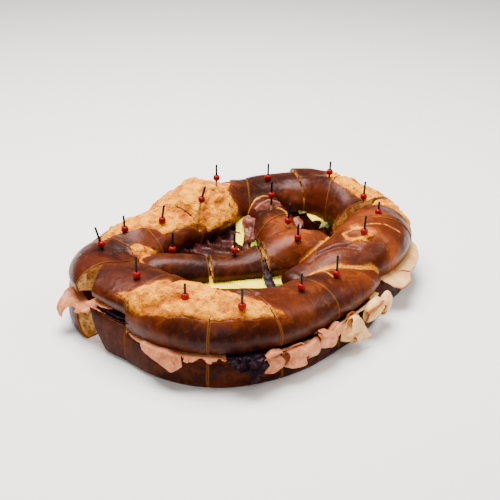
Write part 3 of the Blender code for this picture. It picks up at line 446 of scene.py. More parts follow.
# Rolled slices: piece, node, slot, station, distance past the side, height, half length, half depth, half
# height, heading, lean, turns, start angle and seed.
ROLLS = (
    ("ham_roll_a", "ham_rolls", "cooked_ham", 145, 2.5, 25.5, 10.0, 8.0, 11.0, 8, 6, 1.9, 60, 1.1),
    ("ham_roll_b", "ham_rolls", "cooked_ham", 127, 3.0, 24.5, 11.0, 8.0, 11.5, -6, -8, 1.6, 100, 2.3),
    ("ham_roll_c", "ham_rolls", "cooked_ham", 112, 2.0, 26.0, 9.5, 7.5, 10.5, 10, 10, 1.7, 140, 3.4),
    ("ham_roll_d", "ham_rolls", "cooked_ham", 98, 2.5, 27.5, 12.0, 7.5, 11.0, -4, -20, 1.8, 30, 4.9),
    ("ham_roll_e", "ham_rolls", "cooked_ham", 84, 2.5, 32.0, 7.0, 5.5, 6.5, 4, 20, 2.2, 80, 5.2),
    ("turkey_fold_a", "turkey_rolls", "turkey", 56, 5.0, 27.5, 14.0, 8.5, 12.5, 10, -24, 1.3, 120, 6.6),
    ("turkey_fold_b", "turkey_rolls", "turkey", 27, 5.5, 28.0, 11.5, 8.5, 10.5, -8, 10, 1.6, 40, 7.2),
    ("turkey_fold_c", "turkey_rolls", "turkey", 8, 9.5, 27.0, 9.5, 7.5, 10.5, 12, 10, 1.5, 200, 8.8),
    ("turkey_curl", "turkey_rolls", "turkey", 58, 12.0, 16.0, 6.5, 4.5, 4.5, 20, -10, 1.2, 250, 9.9),
)

# Cheese slices in the front hole: piece, its four corners in plan and height, and seed.
FRONT_CHEESE = (
    ("cheese_front_a", ((172, 112, 36.2), (236, 96, 36.2), (240, 178, 36.2), (176, 202, 36.2)), 1.0),
    ("cheese_front_b", ((212, 97, 37.1), (270, 99, 37.1), (268, 165, 37.1), (214, 186, 37.1)), 2.0),
    ("cheese_front_c", ((250, 102, 36.4), (299, 112, 36.4), (298, 160, 36.4), (252, 168, 36.4)), 3.0),
)

# The same under the back crust, with corners of station, distance past the bread's side and height.
BACK_CHEESE = (
    ("cheese_back_a", ((506, -24, 36.8), (572, -24, 36.8), (570, -60, 36.6), (548, -74, 36.9)), 4.0),
    ("cheese_back_b", ((676, -30, 36.8), (736, -30, 36.8), (738, -76, 36.4), (700, -78, 36.4)), 5.0),
)

# Sheets laid in the holes: piece, node, slot, finish, thickness, ripple, its length, and rows of control
# points in plan and height.
PLACED = (
    ("cheese_strip_middle", "cheese_back", "cheese", "cheese", 1.4, 0.7, 9.0, (
        ((318, 266, 47), (322, 264, 47.5), (328, 260, 47)),
        ((308, 256, 44), (313, 252, 44.5), (317, 248, 44)),
        ((296, 243, 41), (300, 240, 41.5), (303, 236, 41)),
        ((280, 229, 38), (284, 226, 38.5), (289, 223, 38)),
        ((265, 219, 36), (268, 216, 36.5), (273, 211, 36)))),
    ("ham_fold_middle", "raw_ham", "raw_ham", "rosy_ham", 1.5, 5.0, 7.0, (
        ((296, 224, 34), (298, 222, 36), (301, 219, 36), (303, 217, 34)),
        ((298, 229, 42), (301, 226, 46), (305, 222, 45), (309, 218, 40)),
        ((302, 236, 48), (305, 233, 54), (310, 228, 53), (314, 222, 45)),
        ((306, 243, 49), (310, 239, 56), (315, 233, 55), (319, 226, 47)),
        ((311, 248, 43), (315, 244, 48), (320, 238, 47), (323, 231, 41)))),
    ("ham_curl_middle", "raw_ham", "raw_ham", "rosy_ham", 1.4, 4.5, 5.5, (
        ((290, 222, 34), (293, 219, 35), (297, 215, 34), (300, 213, 33)),
        ((292, 225, 39), (296, 221, 43), (300, 217, 41), (303, 214, 37)),
        ((296, 228, 40), (300, 224, 45), (304, 220, 43), (307, 216, 38)),
        ((300, 231, 36), (304, 227, 39), (308, 223, 38), (311, 219, 35)))),
    ("leaf_middle", "lettuce_green", "lettuce_green", "lettuce_green", 0.8, 2.6, 6.0, (
        ((288, 210, 34), (294, 206, 36), (301, 203, 35), (307, 202, 34)),
        ((294, 216, 36), (300, 211, 38), (306, 207, 38), (312, 206, 36)),
        ((300, 222, 37), (306, 217, 40), (312, 212, 40), (317, 211, 37)))),
    ("cheese_ragged_right", "cheese_back", "cheese", "cheese", 1.4, 2.4, 9.0, (
        ((402, 228, 38), (410, 222, 38.5), (418, 214, 38), (420, 200, 37)),
        ((396, 222, 38), (402, 214, 39.5), (408, 206, 38.5), (408, 194, 37)),
        ((390, 214, 38.5), (395, 207, 40), (399, 199, 39), (398, 188, 37.5)),
        ((388, 206, 37), (391, 200, 38), (393, 193, 37.5), (391, 184, 36.5)))),
    ("leaf_right", "lettuce_green", "lettuce_green", "olive_leaf", 0.8, 2.8, 7.0, (
        ((396, 240, 42), (404, 236, 44), (414, 230, 44), (424, 224, 42)),
        ((392, 233, 40), (400, 228, 42), (409, 222, 42), (418, 216, 41)),
        ((388, 227, 38.5), (395, 222, 40), (403, 216, 40.5), (411, 210, 39)))),
    ("leaf_right_low", "lettuce_green", "lettuce_green", "olive_leaf", 0.8, 2.2, 6.0, (
        ((392, 194, 38), (398, 191, 39), (404, 188, 38)), ((386, 190, 38), (391, 186, 39.5), (396, 183, 38)),
        ((380, 188, 36), (384, 184, 38), (388, 180, 36)))),
    ("ham_end_inner", "raw_ham", "raw_ham", "rosy_ham", 1.4, 1.6, 6.0, (
        ((326, 237, 52), (336, 236, 55), (347, 234, 56), (356, 226, 53)),
        ((326, 239.5, 57), (336, 238.5, 61), (347, 236.5, 62), (357, 228.5, 58)),
        ((326, 242, 60), (336, 241, 65), (347, 239, 66), (357, 231, 62)),
        ((328, 245, 59), (338, 244, 63), (349, 242, 64), (360, 233, 60)),
        ((330, 249, 56), (341, 249, 59), (353, 247, 60), (364, 237, 56)))),
    ("ham_curl_right", "raw_ham", "raw_ham", "rosy_ham", 1.4, 4.5, 6.0, (
        ((364, 222, 33), (370, 226, 34), (376, 230, 34), (382, 234, 33)),
        ((362, 216, 36), (369, 219, 39), (376, 222, 39), (383, 227, 36)),
        ((362, 209, 37), (369, 212, 41), (375, 215, 41), (381, 220, 38)),
        ((362, 202, 35), (368, 204, 37), (373, 207, 38), (378, 211, 37)))),
    ("leaf_front_gap", "lettuce_dark", "lettuce_dark", "lettuce_dark", 0.9, 1.6, 7.0, (
        ((256, 164, 48), (259, 161, 48.5), (262, 158, 48)),
        ((246, 149, 45), (249, 146, 45.5), (252, 143, 45)),
        ((236, 138, 41.5), (239, 135, 42), (243, 131, 41.5)),
        ((229, 126, 39.5), (232, 123, 40), (236, 119, 39.5)),
        ((219, 117, 38.6), (222, 114, 39), (226, 110, 38.6)))),
    ("leaf_front_green", "lettuce_green", "lettuce_green", "lettuce_green", 0.8, 2.2, 5.0, (
        ((242, 129, 38.6), (245, 126, 40), (248, 123, 38.6)),
        ((237, 121, 38.6), (240, 118, 40.5), (243, 115, 38.6)),
        ((232, 114, 38.4), (235, 111, 39.6), (238, 108, 38.4)))),
    ("leaf_front_brown", "lettuce_dark", "lettuce_dark", "lettuce_dark", 0.8, 1.8, 5.0, (
        ((212, 118, 38.6), (222, 116, 39.5), (231, 112, 38.8)),
        ((208, 112, 38.6), (218, 109, 40.5), (228, 106, 38.8)),
        ((206, 106, 38.2), (215, 103, 39.5), (226, 100, 38.4)))),
)

# Cured slices in the middle hole: first x and reach in x, their near border as rows of x and y, their far
# border, level and number of folds in radians.
CURED_X = (212.0, 142.0)
CURED_NEAR = ((212.0, 240.0, 262.0, 300.0, 354.0), (218.0, 203.0, 194.0, 191.0, 200.0))
CURED_FAR = 264.0
CURED_LEVEL = 32.0
CURED_FOLDS = 24.0
CURED_GRID = (190, 80)

# A pick's stem and barrel bead, its grid, and the rows of its point from the foot: radius and height.
STEM_RADIUS = 1.2
BEAD_RADIUS = 4.0
BEAD_HALF_HEIGHT = 3.4
BEAD_SQUARENESS = 0.55
STEM_ABOVE_BEAD = 17.0
PICK_COUNT = 20
PICK_COLUMNS = 28
BEAD_ROWS = 13
PICK_POINT = ((0.25, 0.3), (0.8, 3.0), (STEM_RADIUS, 7.0))
STEM_START = 9.0
HEAD_ROUNDING = (0.3, 0.1, 0.5)

# Height below the bead at which the black dye of a stem ends, by pick number, and on the other picks.
BLACK_BELOW = {4: 2.0, 5: 2.0, 12: 2.0, 10: 12.0, 7: 9.0}
USUAL_BLACK = 5.0

# How far a pick is pushed in deeper, and how much shorter its head end is, by pick number.
PUSHED_IN = {9: 5.0}
SHORTER = {
    2: 4.5, 3: 2.5, 4: 4.0, 5: 4.0, 6: 2.5, 7: 3.5, 8: 7.0, 9: 1.5, 10: 8.0, 11: 2.0, 13: 4.5, 17: 6.5,
    18: 1.5, 19: 6.0,
}

# Colours in linear light. A pair holds the deep and the light tone, and for the rim and the shell of a cut
# the tone over crust and the tone over burst dough.
CRUST_DARK = ((0.013, 0.0017, 0.0005), (0.050, 0.0064, 0.0012))
CRUST_WARM = (0.25, 0.044, 0.0035)
CRUST_STREAK = (0.38, 0.075, 0.005)
CRUST_FRECKLE = (0.22, 0.050, 0.008)
CRUST_TINT = (1.0, 0.66, 0.60, 1.0)
DOUGH = ((0.46, 0.090, 0.001), (1.0, 0.38, 0.001))
DOUGH_LIGHT = (1.0, 0.53, 0.010)
# Painted shade in the fine pits of burst dough.
DOUGH_PIT_SHADE = (0.38, 0.085, 0.004)
# Browned border of burst dough, and painted shade in its low lumps and narrow creases.
DOUGH_BROWNED_EDGE_AND_HOLLOW_SHADE = (0.40, 0.080, 0.003)
TORN_SEAM = ((0.48, 0.12, 0.004), (1.0, 0.42, 0.020))
CUT_RIM = ((0.50, 0.15, 0.015), (1.0, 0.62, 0.14))
CUT_SHELL = ((0.13, 0.026, 0.004), (0.80, 0.36, 0.05))
CRUMB = ((0.52, 0.23, 0.050), (0.80, 0.47, 0.15))
# Painted shade in the hollows of crumb bubbles.
CRUMB_HOLE_SHADE = (0.24, 0.080, 0.014)
PORE_SHADE = (0.34, 0.15, 0.035)
BAMBOO = ((0.46, 0.26, 0.09), (0.74, 0.52, 0.26))
BLACK_DYE = (0.008, 0.008, 0.009)
RED_PAINT = ((0.19, 0.0002, 0.0003), (0.27, 0.0005, 0.0007))
CHEESE = ((1.0, 0.72, 0.012), (1.0, 0.80, 0.045))
FLOOR = (0.90, 0.885, 0.855, 1.0)

# Gloss of the crust on top and bottom halves.
TOP_GLOSS = 0.16
BASE_GLOSS = 0.06

# Meats: finish, material, pale and deep colour, streaks, rind and roughness.
MEATS = (
    ("cooked_ham", "boiled_ham", (0.66, 0.235, 0.095), (0.36, 0.085, 0.028), (0.88, 0.46, 0.22),
     (0.60, 0.20, 0.08), 0.42),
    ("turkey", "roast_turkey", (0.92, 0.54, 0.21), (0.68, 0.31, 0.09), (1.0, 0.73, 0.38),
     (0.36, 0.09, 0.010), 0.45),
    ("raw_ham", "cured_ham", (0.060, 0.009, 0.006), (0.022, 0.0035, 0.003), (0.19, 0.045, 0.028),
     (0.26, 0.06, 0.04), 0.45),
    ("rosy_ham", "rosy_ham", (0.24, 0.062, 0.042), (0.10, 0.022, 0.015), (0.50, 0.21, 0.145),
     (0.30, 0.08, 0.05), 0.35),
)

# Leaves: finish, material, deep and light colour, and roughness.
LEAVES = (
    ("lettuce_dark", "purple_leaf", (0.0035, 0.0015, 0.0030), (0.018, 0.004, 0.009), 0.32),
    ("lettuce_green", "green_leaf", (0.12, 0.22, 0.012), (0.42, 0.52, 0.07), 0.38),
    ("olive_leaf", "olive_leaf", (0.060, 0.065, 0.010), (0.30, 0.27, 0.07), 0.4),
)

# Camera over the front left, and the lens that gives the photo's field of view.
CAMERA_PLACE = (-0.63735, -0.62912, 0.5207)
CAMERA_YAW = math.radians(44.95)
CAMERA_PITCH = math.radians(27.67)
CAMERA_ROLL = math.radians(0.82)
LENS = 66.3

# Soft lights: name, place, size, power and colour.
LAMPS = (
    ("key_light", (0.05, 0.36, 1.42), 1.15, 88.0, (1.0, 0.98, 0.95)),
    ("fill_light", (-1.0, -0.9, 1.0), 0.8, 8.0, (1.0, 0.98, 0.96)),
    ("side_light", (0.9, -0.7, 1.1), 0.8, 11.0, (1.0, 0.98, 0.96)),
)
LAMP_TARGET = Vector((0.0, 0.0, 0.03))
SKY_STRENGTH = 0.25
FLOOR_REACH = 3.0

# Random values from which all noise is mixed.
LATTICE_SIZE = 32
LATTICE = np.random.default_rng(11).random((LATTICE_SIZE, LATTICE_SIZE, LATTICE_SIZE))


def noise(points, length, shift=0.0):
    """Smooth noise from -1 to 1: random lattice values, mixed by the eased place in their cell."""
    place = np.asarray(points) / length + shift
    low = np.floor(place).astype(int)
    share = place - low
    share = share * share * (3.0 - 2.0 * share)
    total = 0.0
    for corner in np.ndindex(2, 2, 2):
        index = (low + corner) % LATTICE_SIZE
        weight = np.prod(np.where(np.array(corner) == 1, share, 1.0 - share), axis=-1)
        total = total + weight * LATTICE[index[..., 0], index[..., 1], index[..., 2]]
    return 2.0 * total - 1.0


def rough(points, length, octaves=3, shift=0.0):
    """Sum of noise layers, each at half the length and half the height of the one before."""
    return sum(0.5 ** layer * noise(points, length * 0.5 ** layer, shift + 3.7 * layer)
               for layer in range(octaves))


def waves(points, layers):
    """Sum of rough layers, each times its height."""
    return sum(height * rough(points, length, 2, shift) for height, length, shift in layers)


def ease(value, low, high):
    """Smooth step from 0 at low to 1 at high."""
    share = np.clip((value - low) / (high - low), 0.0, 1.0)
    return share * share * (3.0 - 2.0 * share)


def bell(x, y, centre_x, centre_y, radius):
    """A bell curve in plan: e to the minus squared distance from its middle over squared radius."""
    return np.exp(-((x - centre_x) ** 2 + (y - centre_y) ** 2) / radius ** 2)


def off_segment(x, y, start, end):
    """Steps in x and in y to places in plan from the nearest point of a straight segment: the foot of
    their perpendicular to it, held between its ends."""
    run_x, run_y = end - start
    share = ((x - start[0]) * run_x + (y - start[1]) * run_y) / (run_x ** 2 + run_y ** 2)
    share = np.clip(share, 0.0, 1.0)
    return x - start[0] - run_x * share, y - start[1] - run_y * share


def depth_inside(x, y, outline):
    """Distance of places in plan from an outline, above zero inside it and below zero outside. A place
    is inside where a line from it along x crosses the outline an odd number of times."""
    corners = np.array(outline, float)
    distance = np.full(x.shape, FAR)
    inside = np.zeros(x.shape, bool)
    for start, end in zip(corners, np.roll(corners, -1, axis=0)):
        distance = np.minimum(distance, np.hypot(*off_segment(x, y, start, end)))
        run_x, run_y = end - start
        level = (start[1] > y) != (end[1] > y)
        inside ^= level & (x < start[0] + run_x * (y - start[1]) / (run_y if run_y else 1e-9))
    return np.where(inside, distance, -distance)


def path_distance(x, y, path):
    """Signed distance of places in plan from an open path, above zero on its left side: the sign is that
    of the cross product of the nearest segment and the step from it."""
    corners = np.array(path, float)
    nearest = np.full(x.shape, FAR)
    signed = np.zeros(x.shape)
    for start, end in zip(corners, corners[1:]):
        off_x, off_y = off_segment(x, y, start, end)
        run_x, run_y = end - start
        distance = np.hypot(off_x, off_y)
        closer = distance < nearest
        nearest = np.where(closer, distance, nearest)
        signed = np.where(closer, np.sign(run_x * off_y - run_y * off_x) * distance, signed)
    return signed


def knife_axes(line):
    """First point of a knife line in plan, its direction, its length and its normal."""
    first, second = np.array(line, float)
    length = np.linalg.norm(second - first)
    along = (second - first) / length
    return first, along, length, np.array([-along[1], along[0]])


def knife_normal(line, keep):
    """Unit normal in plan of a knife's plane, away from the piece that is kept."""
    first, _, _, away = knife_axes(line)
    return -away if away @ (keep - first) > 0.0 else away


def nearest_row(rows, line):
    """Index of the row of a centreline that lies nearest to a knife line, beside the line's own length."""
    first, along, length, away = knife_axes(line)
    steps = rows[:, :2] - first
    travel = steps @ along
    near = (travel > -LINE_SLACK) & (travel < length + LINE_SLACK)
    return np.where(near, np.abs(steps @ away), FAR).argmin()


def through(keys, steps):
    """Points on a Catmull-Rom curve through key rows, with so many steps from each row to the next."""
    keys = np.array(keys, float)
    padded = np.vstack([2 * keys[0] - keys[1], keys, 2 * keys[-1] - keys[-2]])
    share = np.linspace(0.0, 1.0, steps, endpoint=False)[:, None]
    curve = [0.5 * (2 * start + (end - before) * share
                    + (2 * before - 5 * start + 4 * end - after) * share ** 2
                    + (3 * start - before - 3 * end + after) * share ** 3)
             for before, start, end, after in zip(padded, padded[1:], padded[2:], padded[3:])]
    return np.vstack(curve + [keys[-1:]])


class Rope:
    """A smooth centreline through key rows of x, y, half width and top height."""

    def __init__(self, keys):
        self.fine = through(keys, FINE_STEPS)
        steps = np.linalg.norm(np.diff(self.fine[:, :2], axis=0), axis=1)
        self.run = np.concatenate([[0.0], np.cumsum(steps)])
        self.length = self.run[-1]
        self.start_reach = END_ROUNDING * keys[0][2]
        self.end_reach = END_ROUNDING * keys[-1][2]

    def at(self, stations):
        """Rows, tangents and outward normals at any stations. Past a loose end the rope narrows
        along a quarter circle, and its height falls with the 0.6th power of the narrowing."""
        inner = np.clip(stations, 0.0, self.length)
        rows = np.stack([np.interp(inner, self.run, column) for column in self.fine.T], axis=-1)
        ahead, behind = [
            np.stack([np.interp(places, self.run, column) for column in self.fine.T[:2]], axis=-1)
            for places in (inner + TANGENT_REACH, inner - TANGENT_REACH)]
        tangents = ahead - behind
        tangents /= np.linalg.norm(tangents, axis=-1)[..., None]
        outward = np.stack([-tangents[..., 1], tangents[..., 0]], axis=-1)
        past = stations - inner
        narrow = np.sqrt(np.clip(1.0 - (past / (END_ROUNDING * rows[..., 2])) ** 2, 0.0, 1.0))
        rows[..., :2] += tangents * past[..., None]
        rows[..., 3] = SEAT_HEIGHT + (rows[..., 3] - SEAT_HEIGHT) * narrow ** 0.6
        rows[..., 2] *= narrow
        return rows, tangents, outward

    def meets(self, line, shares, grow, keep):
        """Stations at which each lengthwise line, at a share of the half width, meets a knife's plane: the
        change of sign of its distance that is nearest to the rope's own crossing."""
        stations = np.linspace(0.0, self.length, MEET_STEPS)
        rows, _, outward = self.at(stations)
        offset = (rows[:, 2] + grow)[:, None] * shares
        points = rows[:, None, :2] + outward[:, None, :] * offset[..., None]
        distance = (points - np.array(line[0], float)) @ knife_normal(line, keep) + 0.5 * KNIFE_GAP
        change = np.sign(distance[:-1]) != np.sign(distance[1:])
        reach = np.abs(stations[:-1, None] - stations[nearest_row(rows, line)])
        missed = MISSED + np.abs(distance[:-1]) + MISSED * (reach > MEET_REACH)
        index = np.where(change & (reach < MEET_REACH), reach, missed).argmin(axis=0)
        column = np.arange(shares.size)
        here, there = distance[index, column], distance[index + 1, column]
        share = np.clip(here / np.where(here == there, 1.0, here - there), 0.0, 1.0)
        return stations[index] + share * (stations[1] - stations[0])

    def crossing(self, line):
        """Distance along the centreline to its row that is nearest to a knife line."""
        return self.run[nearest_row(self.fine, line)]

    def height_over(self, x, y, low, high):
        """Height of the crust over places in plan between two stations, or 0 beside the rope: the highest
        of the arches across the rope that pass near a place."""
        rows, tangents, outward = self.at(np.linspace(low, high, OVER_STEPS))
        places = np.stack([x.ravel(), y.ravel()], axis=1)
        steps = places[:, None, :] - rows[None, :, :2]
        offset = np.abs(np.einsum("ijk,jk->ij", steps, outward))
        beside = np.abs(np.einsum("ijk,jk->ij", steps, tangents)) < OVER_REACH
        share = np.where(beside, offset / np.maximum(rows[:, 2], 0.5), FAR)
        arch = np.clip(1.0 - share ** CRUST_SQUARENESS, 0.0, 1.0) ** (1.0 / CRUST_SQUARENESS)
        height = (SEAT_HEIGHT + (rows[:, 3] - SEAT_HEIGHT) * arch) * (share < 1.0)
        return height.max(axis=1).reshape(x.shape)


ROPES = {"ring": Rope(RING_KEYS), "centre": Rope(CENTRE_ARM_KEYS), "inner": Rope(INNER_ARM_KEYS)}


def carved(x, y):
    """Rise of ledges and fall of creases at a place in plan. A ledge steps up across its path and
    fades back over its width; a crease is a bell-shaped groove along its path."""
    total = np.zeros(x.shape)
    for path, width, rise in LEDGES:
        side = path_distance(x, y, path) * np.sign(width)
        total += rise * ease(side, -0.6, 0.9) * np.exp(-(side / abs(width)) ** 2)
    for path, width, depth in CREASES:
        total -= depth * np.exp(-(path_distance(x, y, path) / width) ** 2)
    return total


def fold_depth(x, y):
    """Depth of the narrow creases alone at a place in plan."""
    return sum(depth * np.exp(-(path_distance(x, y, path) / width) ** 2)
               for path, width, depth in CREASES if width < NARROW_CREASE)


def swell(x, y):
    """Rise of the lobes and fall of the hollows at a place in plan: a sum of bell curves."""
    return sum(amount * bell(x, y, *place) for *place, amount in SWELLS)


def normals_of(grid, closed):
    """Unit normals of a grid of points: the cross product of its steps along both runs. The second run
    may close on itself."""
    along = np.gradient(grid, axis=0)
    if closed:
        across = np.roll(grid, -1, axis=1) - np.roll(grid, 1, axis=1)
    else:
        across = np.gradient(grid, axis=1)
    normal = np.cross(along, across)
    return normal / np.maximum(np.linalg.norm(normal, axis=2), 1e-9)[..., None]


def outward_normals(grid):
    """Unit normals of a grid of closed loops, turned away from its middle."""
    normal = normals_of(grid, True)
    return -normal if ((grid - grid.mean(axis=(0, 1))) * normal).sum() < 0.0 else normal


def volume_of(points, faces):
    """Signed volume of a closed mesh, above zero where its faces point outwards: a sixth of the sum of
    its triangles' triple products."""
    halves = [[face[0], face[2], face[3]] for face in faces if len(face) > 3]
    corners = np.array([face[:3] for face in faces] + halves)
    first, second, third = points[corners[:, 0]], points[corners[:, 1]], points[corners[:, 2]]
    return np.einsum("ij,ij->i", first - points[0], np.cross(second - first, third - first)).sum() / 6.0


def make_piece(name, points, faces, nodes, finish, values=(), sharp=60.0):
    """Put a mesh into the scene as a piece that rides on the food and stands for solids."""
    mesh = bpy.data.meshes.new(name)
    points = (np.asarray(points, float).reshape(-1, 3) - LAYOUT_MIDDLE) * MM
    mesh.from_pydata(points.tolist(), [], faces)
    mesh.validate()
    if volume_of(points, faces) < 0.0:
        mesh.flip_normals()
    for label, column in dict(values).items():
        layer = mesh.attributes.new(label, "FLOAT", "POINT")
        layer.data.foreach_set("value", np.ascontiguousarray(column, np.float32).ravel())
    mesh.materials.append(finish)
    mesh.shade_smooth()
    mesh.set_sharp_from_angle(angle=math.radians(sharp))
    piece = bpy.data.objects.new(name, mesh)
    bpy.context.scene.collection.objects.link(piece)
    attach(piece, "root")
    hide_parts(*nodes)
    return piece


def tube_faces(rows, columns, first=0):
    """Quads of a grid of rows of closed loops, with a fan to one pole point past each end."""
    index = first + 1 + np.arange(rows * columns).reshape(rows, columns)
    following = np.roll(index, -1, axis=1)
    quads = np.stack([index[:-1], following[:-1], following[1:], index[1:]], axis=-1).reshape(-1, 4)
    start = np.full(columns, first)
    end = np.full(columns, first + 1 + rows * columns)
    heads = np.stack([start, following[0], index[0]], axis=-1)
    tails = np.stack([end, index[-1], following[-1]], axis=-1)
    return quads.tolist() + heads.tolist() + tails.tolist()


def sheet_faces(rows, columns):
    """Quads of a closed sheet: an upper and a lower grid and the strip round their border."""
    upper = np.arange(rows * columns).reshape(rows, columns)
    lower = upper + rows * columns
    faces = []
    for index, turn in ((upper, 1), (lower, -1)):
        quads = np.stack([index[:-1, :-1], index[:-1, 1:], index[1:, 1:], index[1:, :-1]], axis=-1)
        faces.append(quads.reshape(-1, 4)[:, ::turn])
    border = np.concatenate([upper[:, 0], upper[-1, 1:], upper[-2::-1, -1], upper[0, -2:0:-1]])
    beside = np.roll(border, -1)
    shift = rows * columns
    faces.append(np.stack([border, beside, beside + shift, border + shift], axis=-1))
    return np.concatenate(faces).tolist()


def pores(points, seed):
    """Depth of open crumb bubbles on a cut: the deepest of many bowls round random points of it. A
    bowl is its radius deep, times 1 less the squared share of the way out, to the power 0.6."""
    draw = np.random.default_rng(seed)
    places = points.reshape(-1, 3)
    area = np.prod(np.sort(np.ptp(places, axis=0))[1:])
    count = max(LEAST_PORES, int(area / PORE_SPACING ** 2))
    picked = places[draw.integers(0, len(places), count)]
    radius = SMALLEST_PORE + (LARGEST_PORE - SMALLEST_PORE) * draw.random(count) ** PORE_SKEW
    distance = np.linalg.norm(points[..., None, :] - picked, axis=-1)
    return (radius * np.clip(1.0 - (distance / radius) ** 2, 0.0, 1.0) ** 0.6).max(axis=-1)


def pits(points):
    """Small scattered pocks: the peaks of a fine noise, pushed in."""
    return PIT_DEPTH * ease(noise(points, PIT_LENGTH, 41), 0.42, 0.8)


def edge_lift(name, stations, shares):
    """Extra height of the slice over a grid: none at the middle, growing to the outer edge."""
    first, last = EDGE_LIFTS.get(name, (0.0, 0.0))
    along = (stations - stations.min()) / np.ptp(stations)
    return (first + (last - first) * along) * ease(shares, 0.15, 0.95)


def lengthwise(rope, shares, start_cut, end_cut, grow, second=None):
    """Stations of a grid: rows that begin and end on the knife planes, closer together at the cuts.
    Also each row's distance from its nearer cut, or a large number away from cuts."""
    first_crossing = rope.crossing(start_cut) if start_cut else 0.0
    last_crossing = rope.crossing(end_cut) if end_cut else rope.length
    middle = rope.at(np.array([0.5 * (first_crossing + last_crossing)]))[0][0, :2]
    start = np.full(shares.size, -rope.start_reach)
    end = np.full(shares.size, rope.length + rope.end_reach)
    if start_cut:
        start = rope.meets(start_cut, shares, grow, middle)
    if end_cut:
        end = rope.meets(end_cut, shares, grow, middle)
    if second:
        end = np.minimum(end, rope.meets(second, shares, grow, middle))
    start_edge = np.array(CUT_EDGE if start_cut else LOOSE_EDGE)
    end_edge = np.array(CUT_EDGE if end_cut else LOOSE_EDGE)
    count = max(LEAST_ROWS, int(np.mean(end - start) / ROW_STEP))
    share = np.linspace(0.0, 1.0, count + 2)[1:-1]
    weight = np.concatenate([np.zeros(start_edge.size), share, np.ones(end_edge.size)])[:, None]
    between = start_edge[-1] * (1 - share) - end_edge[-1] * share
    extra = np.concatenate([start_edge, between, -end_edge[::-1]])[:, None]
    from_cut = np.concatenate([start_edge + (0.0 if start_cut else NO_CUT), np.full(count, NO_CUT),
                               end_edge[::-1] + (0.0 if end_cut else NO_CUT)])
    return start * (1 - weight) + end * weight + extra, from_cut


def cut_face(rim, heart, direction, seed):
    """Rings from the rim of a cut in to its heart, without the rim, with bubbles sunk in from the
    plane. Also each point's distance from the rim, and how far it is sunk in."""
    share = (np.arange(1, CUT_RINGS) / CUT_RINGS)[:, None, None]
    rings = rim[None] + (heart - rim)[None] * share
    inward = np.linalg.norm(rings - rim[None], axis=2)
    sink = pores(rings, seed) * PORE_DEPTH * ease(inward, 0.6, 2.2)
    sink += CRUMB_SINK * (1.0 + rough(rings, CRUMB_LENGTH, 2, 5.0)) * ease(inward, 0.4, 1.6)
    bulge = waves(rings, FACE_WAVES) * ease(inward, 0.5, 5.0)
    return rings - direction * (sink - bulge)[..., None], inward, sink


def bread_piece(name, nodes, finish, grid, cuts, hearts, masks, seed):
    """Close a grid of bread loops with a face at each cut, or a pole at a loose end, and make the piece.
    The masks carry on over the faces, which are crumb all over, as the seat is."""
    columns = grid.shape[1]
    kept = grid[len(grid) // 2, :, :2].mean(axis=0)
    faces = []
    for index, (cut, rim, heart) in enumerate(zip(cuts, (grid[0], grid[-1]), hearts)):
        if cut:
            faces.append(cut_face(rim, heart, np.append(knife_normal(cut, kept), 0.0), seed + index))
        else:
            faces.append((np.zeros((0, columns, 3)), np.zeros((0, columns)), np.zeros((0, columns))))
    (head, head_inward, head_sink), (tail, tail_inward, tail_sink) = faces
    middle = slice(0 if cuts[0] else 1, len(grid) if cuts[1] else len(grid) - 1)
    loops = np.concatenate([head[::-1], grid[middle], tail])
    blocks = {}
    for label, mask in masks.items():
        inner = mask[middle]
        blocks[label] = np.concatenate([np.repeat(inner[:1], len(head), axis=0), inner,
                                        np.repeat(inner[-1:], len(tail), axis=0)])
    plain = np.zeros(grid[middle].shape[:2])
    on_cut = np.concatenate([np.ones(head.shape[:2]), plain, np.ones(tail.shape[:2])])
    blocks["crumb"] = np.maximum(on_cut, blocks.pop("seat"))
    blocks["inward"] = np.concatenate([head_inward[::-1], plain, tail_inward])
    blocks["sink"] = np.concatenate([head_sink[::-1], plain, tail_sink])
    points = np.concatenate([[hearts[0]], loops.reshape(-1, 3), [hearts[1]]])
    values = {label: np.pad(block.ravel(), 1, mode="edge") for label, block in blocks.items()}
    return make_piece(name, points, tube_faces(len(loops), columns), nodes, finish, values)


def crust_section():
    """Round a top half's section, shares of the half width and of the crown's height, and a mask of
    the seat: a squared arch, drawn in at its foot, and the level seat under it."""
    angle = np.linspace(0.0, math.pi, CRUST_COLUMNS)
    power = 2.0 / CRUST_SQUARENESS
    arch = np.abs(np.sin(angle)) ** power
    side = np.sign(np.cos(angle)) * np.abs(np.cos(angle)) ** power
    side *= SEAT_SHARE + SEAT_TUCK * np.minimum(1.0, 3.0 * arch)
    seat = np.linspace(-SEAT_SHARE, SEAT_SHARE, SEAT_COLUMNS + 2)[1:-1]
    return (np.concatenate([side, seat]), np.concatenate([arch, np.zeros(SEAT_COLUMNS)]),
            np.concatenate([np.zeros(CRUST_COLUMNS), np.ones(SEAT_COLUMNS)]))


def bulged(grid, normal, rise):
    """A grid pushed out along its normals by bell curves in space, less so at its foot."""
    for *centre, radius, amount in BULGES:
        away = ((grid - centre) ** 2).sum(axis=2)
        grid = grid + normal * (amount * np.exp(-away / radius ** 2) * np.minimum(1.0, 3.0 * rise))[..., None]
    return grid


def burst_depth(grid, x, y):
    """How far each point lies inside a burst, below zero outside: its distance in plan from the
    outlines, or its height over the burst's limit where that is less, with a ragged border."""
    depth = np.max([depth_inside(x, y, outline) for outline in BURSTS], axis=0)
    depth = np.minimum(depth, -depth_inside(x, y, KEPT_CRUST))
    *shoulder, amount = BURST_SHOULDER
    depth = np.minimum(depth, grid[..., 2] - (BURST_FLOOR + amount * bell(x, y, *shoulder)))
    for reach, length, shift in BURST_RAGS:
        depth = depth + reach * noise(grid, length, shift)
    return depth


